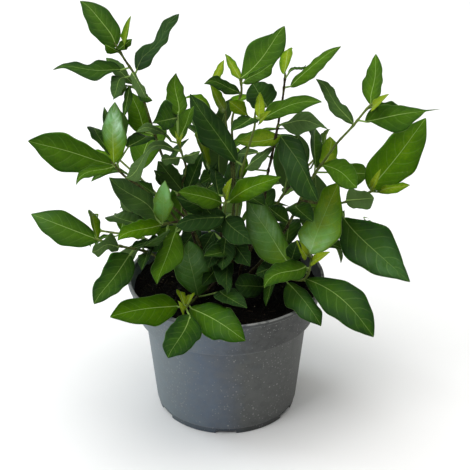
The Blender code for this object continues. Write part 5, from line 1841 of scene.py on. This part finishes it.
@dataclass
class Studio:
    """The pale floor, the soft lights and the camera."""

    floor_side: float = 9.0
    key_power: float = 36.0
    fill_power: float = 22.0
    top_power: float = 88.0

    def build_floor(self, finish: bpy.types.Material) -> None:
        """Lay the floor: a flat grid of four corners under the pot."""
        side = self.floor_side / 2 / MM
        corners = np.array([[-side, -side, -0.05], [side, -side, -0.05], [side, side, -0.05],
                            [-side, side, -0.05]])
        skin = Skin()
        skin.add(corners, [np.array([[0, 1, 2, 3]])])
        skin.make("studio_floor", finish, smooth=False)

    def add_light(self, name: str, place: tuple[float, float, float], size: float, power: float,
                  colour: tuple[float, float, float]) -> None:
        """Hang a soft square light that points at the plant's middle.

        Args:
            name: The light's name.
            place: Where it hangs, in metres.
            size: Its side, in metres.
            power: Its power in watts.
            colour: Its colour.
        """
        lamp = bpy.data.lights.new(name, "AREA")
        lamp.shape, lamp.size, lamp.energy, lamp.color = "SQUARE", size, power, colour
        hung = bpy.data.objects.new(name, lamp)
        hung.location = place
        away = Vector(place) - Vector((0.0, 0.0, 0.16))
        hung.rotation_euler = away.to_track_quat("Z", "Y").to_euler()
        bpy.context.scene.collection.objects.link(hung)

    def build_lights(self) -> None:
        """Set the pale surroundings and the lights."""
        world = bpy.data.worlds.new("studio")
        world.use_nodes = True
        world.node_tree.nodes["Background"].inputs[0].default_value = (0.96, 0.98, 1.0, 1.0)
        world.node_tree.nodes["Background"].inputs[1].default_value = 0.22
        bpy.context.scene.world = world
        bpy.context.scene.view_settings.view_transform = "Standard"
        self.add_light("key", (-1.9, -1.5, 2.2), 1.5, self.key_power, (0.97, 0.99, 1.0))
        self.add_light("left", (-1.9, 1.0, 0.95), 1.2, self.fill_power, (0.85, 0.94, 1.0))
        self.add_light("top", (0.1, 0.2, 2.6), 3.2, self.top_power, (1.0, 0.995, 0.97))

    def build_camera(self) -> None:
        """Set the camera where the photograph was taken from."""
        lens = bpy.data.cameras.new("photograph")
        lens.sensor_width = SENSOR_WIDTH
        lens.lens = LENS_PIXELS / PICTURE_SIZE * SENSOR_WIDTH
        lens.clip_start, lens.clip_end = 0.05, 30.0
        camera = bpy.data.objects.new("photograph", lens)
        camera.location = Vector(CAMERA * MM)
        camera.rotation_euler = (math.pi / 2 - CAMERA_TILT, 0.0, 0.0)
        bpy.context.scene.collection.objects.link(camera)
        bpy.context.scene.camera = camera


def main() -> None:
    """Build every piece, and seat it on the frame."""
    logging.basicConfig(level=logging.INFO, format="%(message)s")
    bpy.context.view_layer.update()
    effects = Effects()
    leaf, bark = LeafFinish().material(effects), BarkFinish().material(effects)
    pot = Pot().build(PlasticFinish().material(effects))
    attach(pot, "root")
    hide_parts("pot")
    bed = SoilBed()
    soil = bed.build(SoilFinish().material(effects))
    litter = bed.build_litter(LitterFinish().material(effects))
    for piece in (soil, litter):
        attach(piece, "root")
    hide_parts("soil")
    foliage, wood = Foliage(), Woodwork()
    plants = [(stem.name, sighted_shoots(stem)) for stem in STEMS]
    plants += [(stem.name, rear_shoots(stem)) for stem in REAR_STEMS]
    for name, shoots in plants:
        place = name.removeprefix("stem_")
        leaves = foliage.build(f"leaves_{place}", [b for s in shoots for b in s.blades], leaf)
        twigs = wood.build(f"twigs_{place}", shoots, bark)
        for piece in (leaves, twigs):
            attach(piece, "root")
            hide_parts(name)
        LOG.info("%s: %d twigs, %d leaves, %d faces", name, len(shoots),
                 sum(len(s.blades) for s in shoots), len(leaves.data.polygons))
    studio = Studio()
    studio.build_floor(FloorFinish().material())
    studio.build_lights()
    studio.build_camera()


if __name__ == "__main__":
    main()
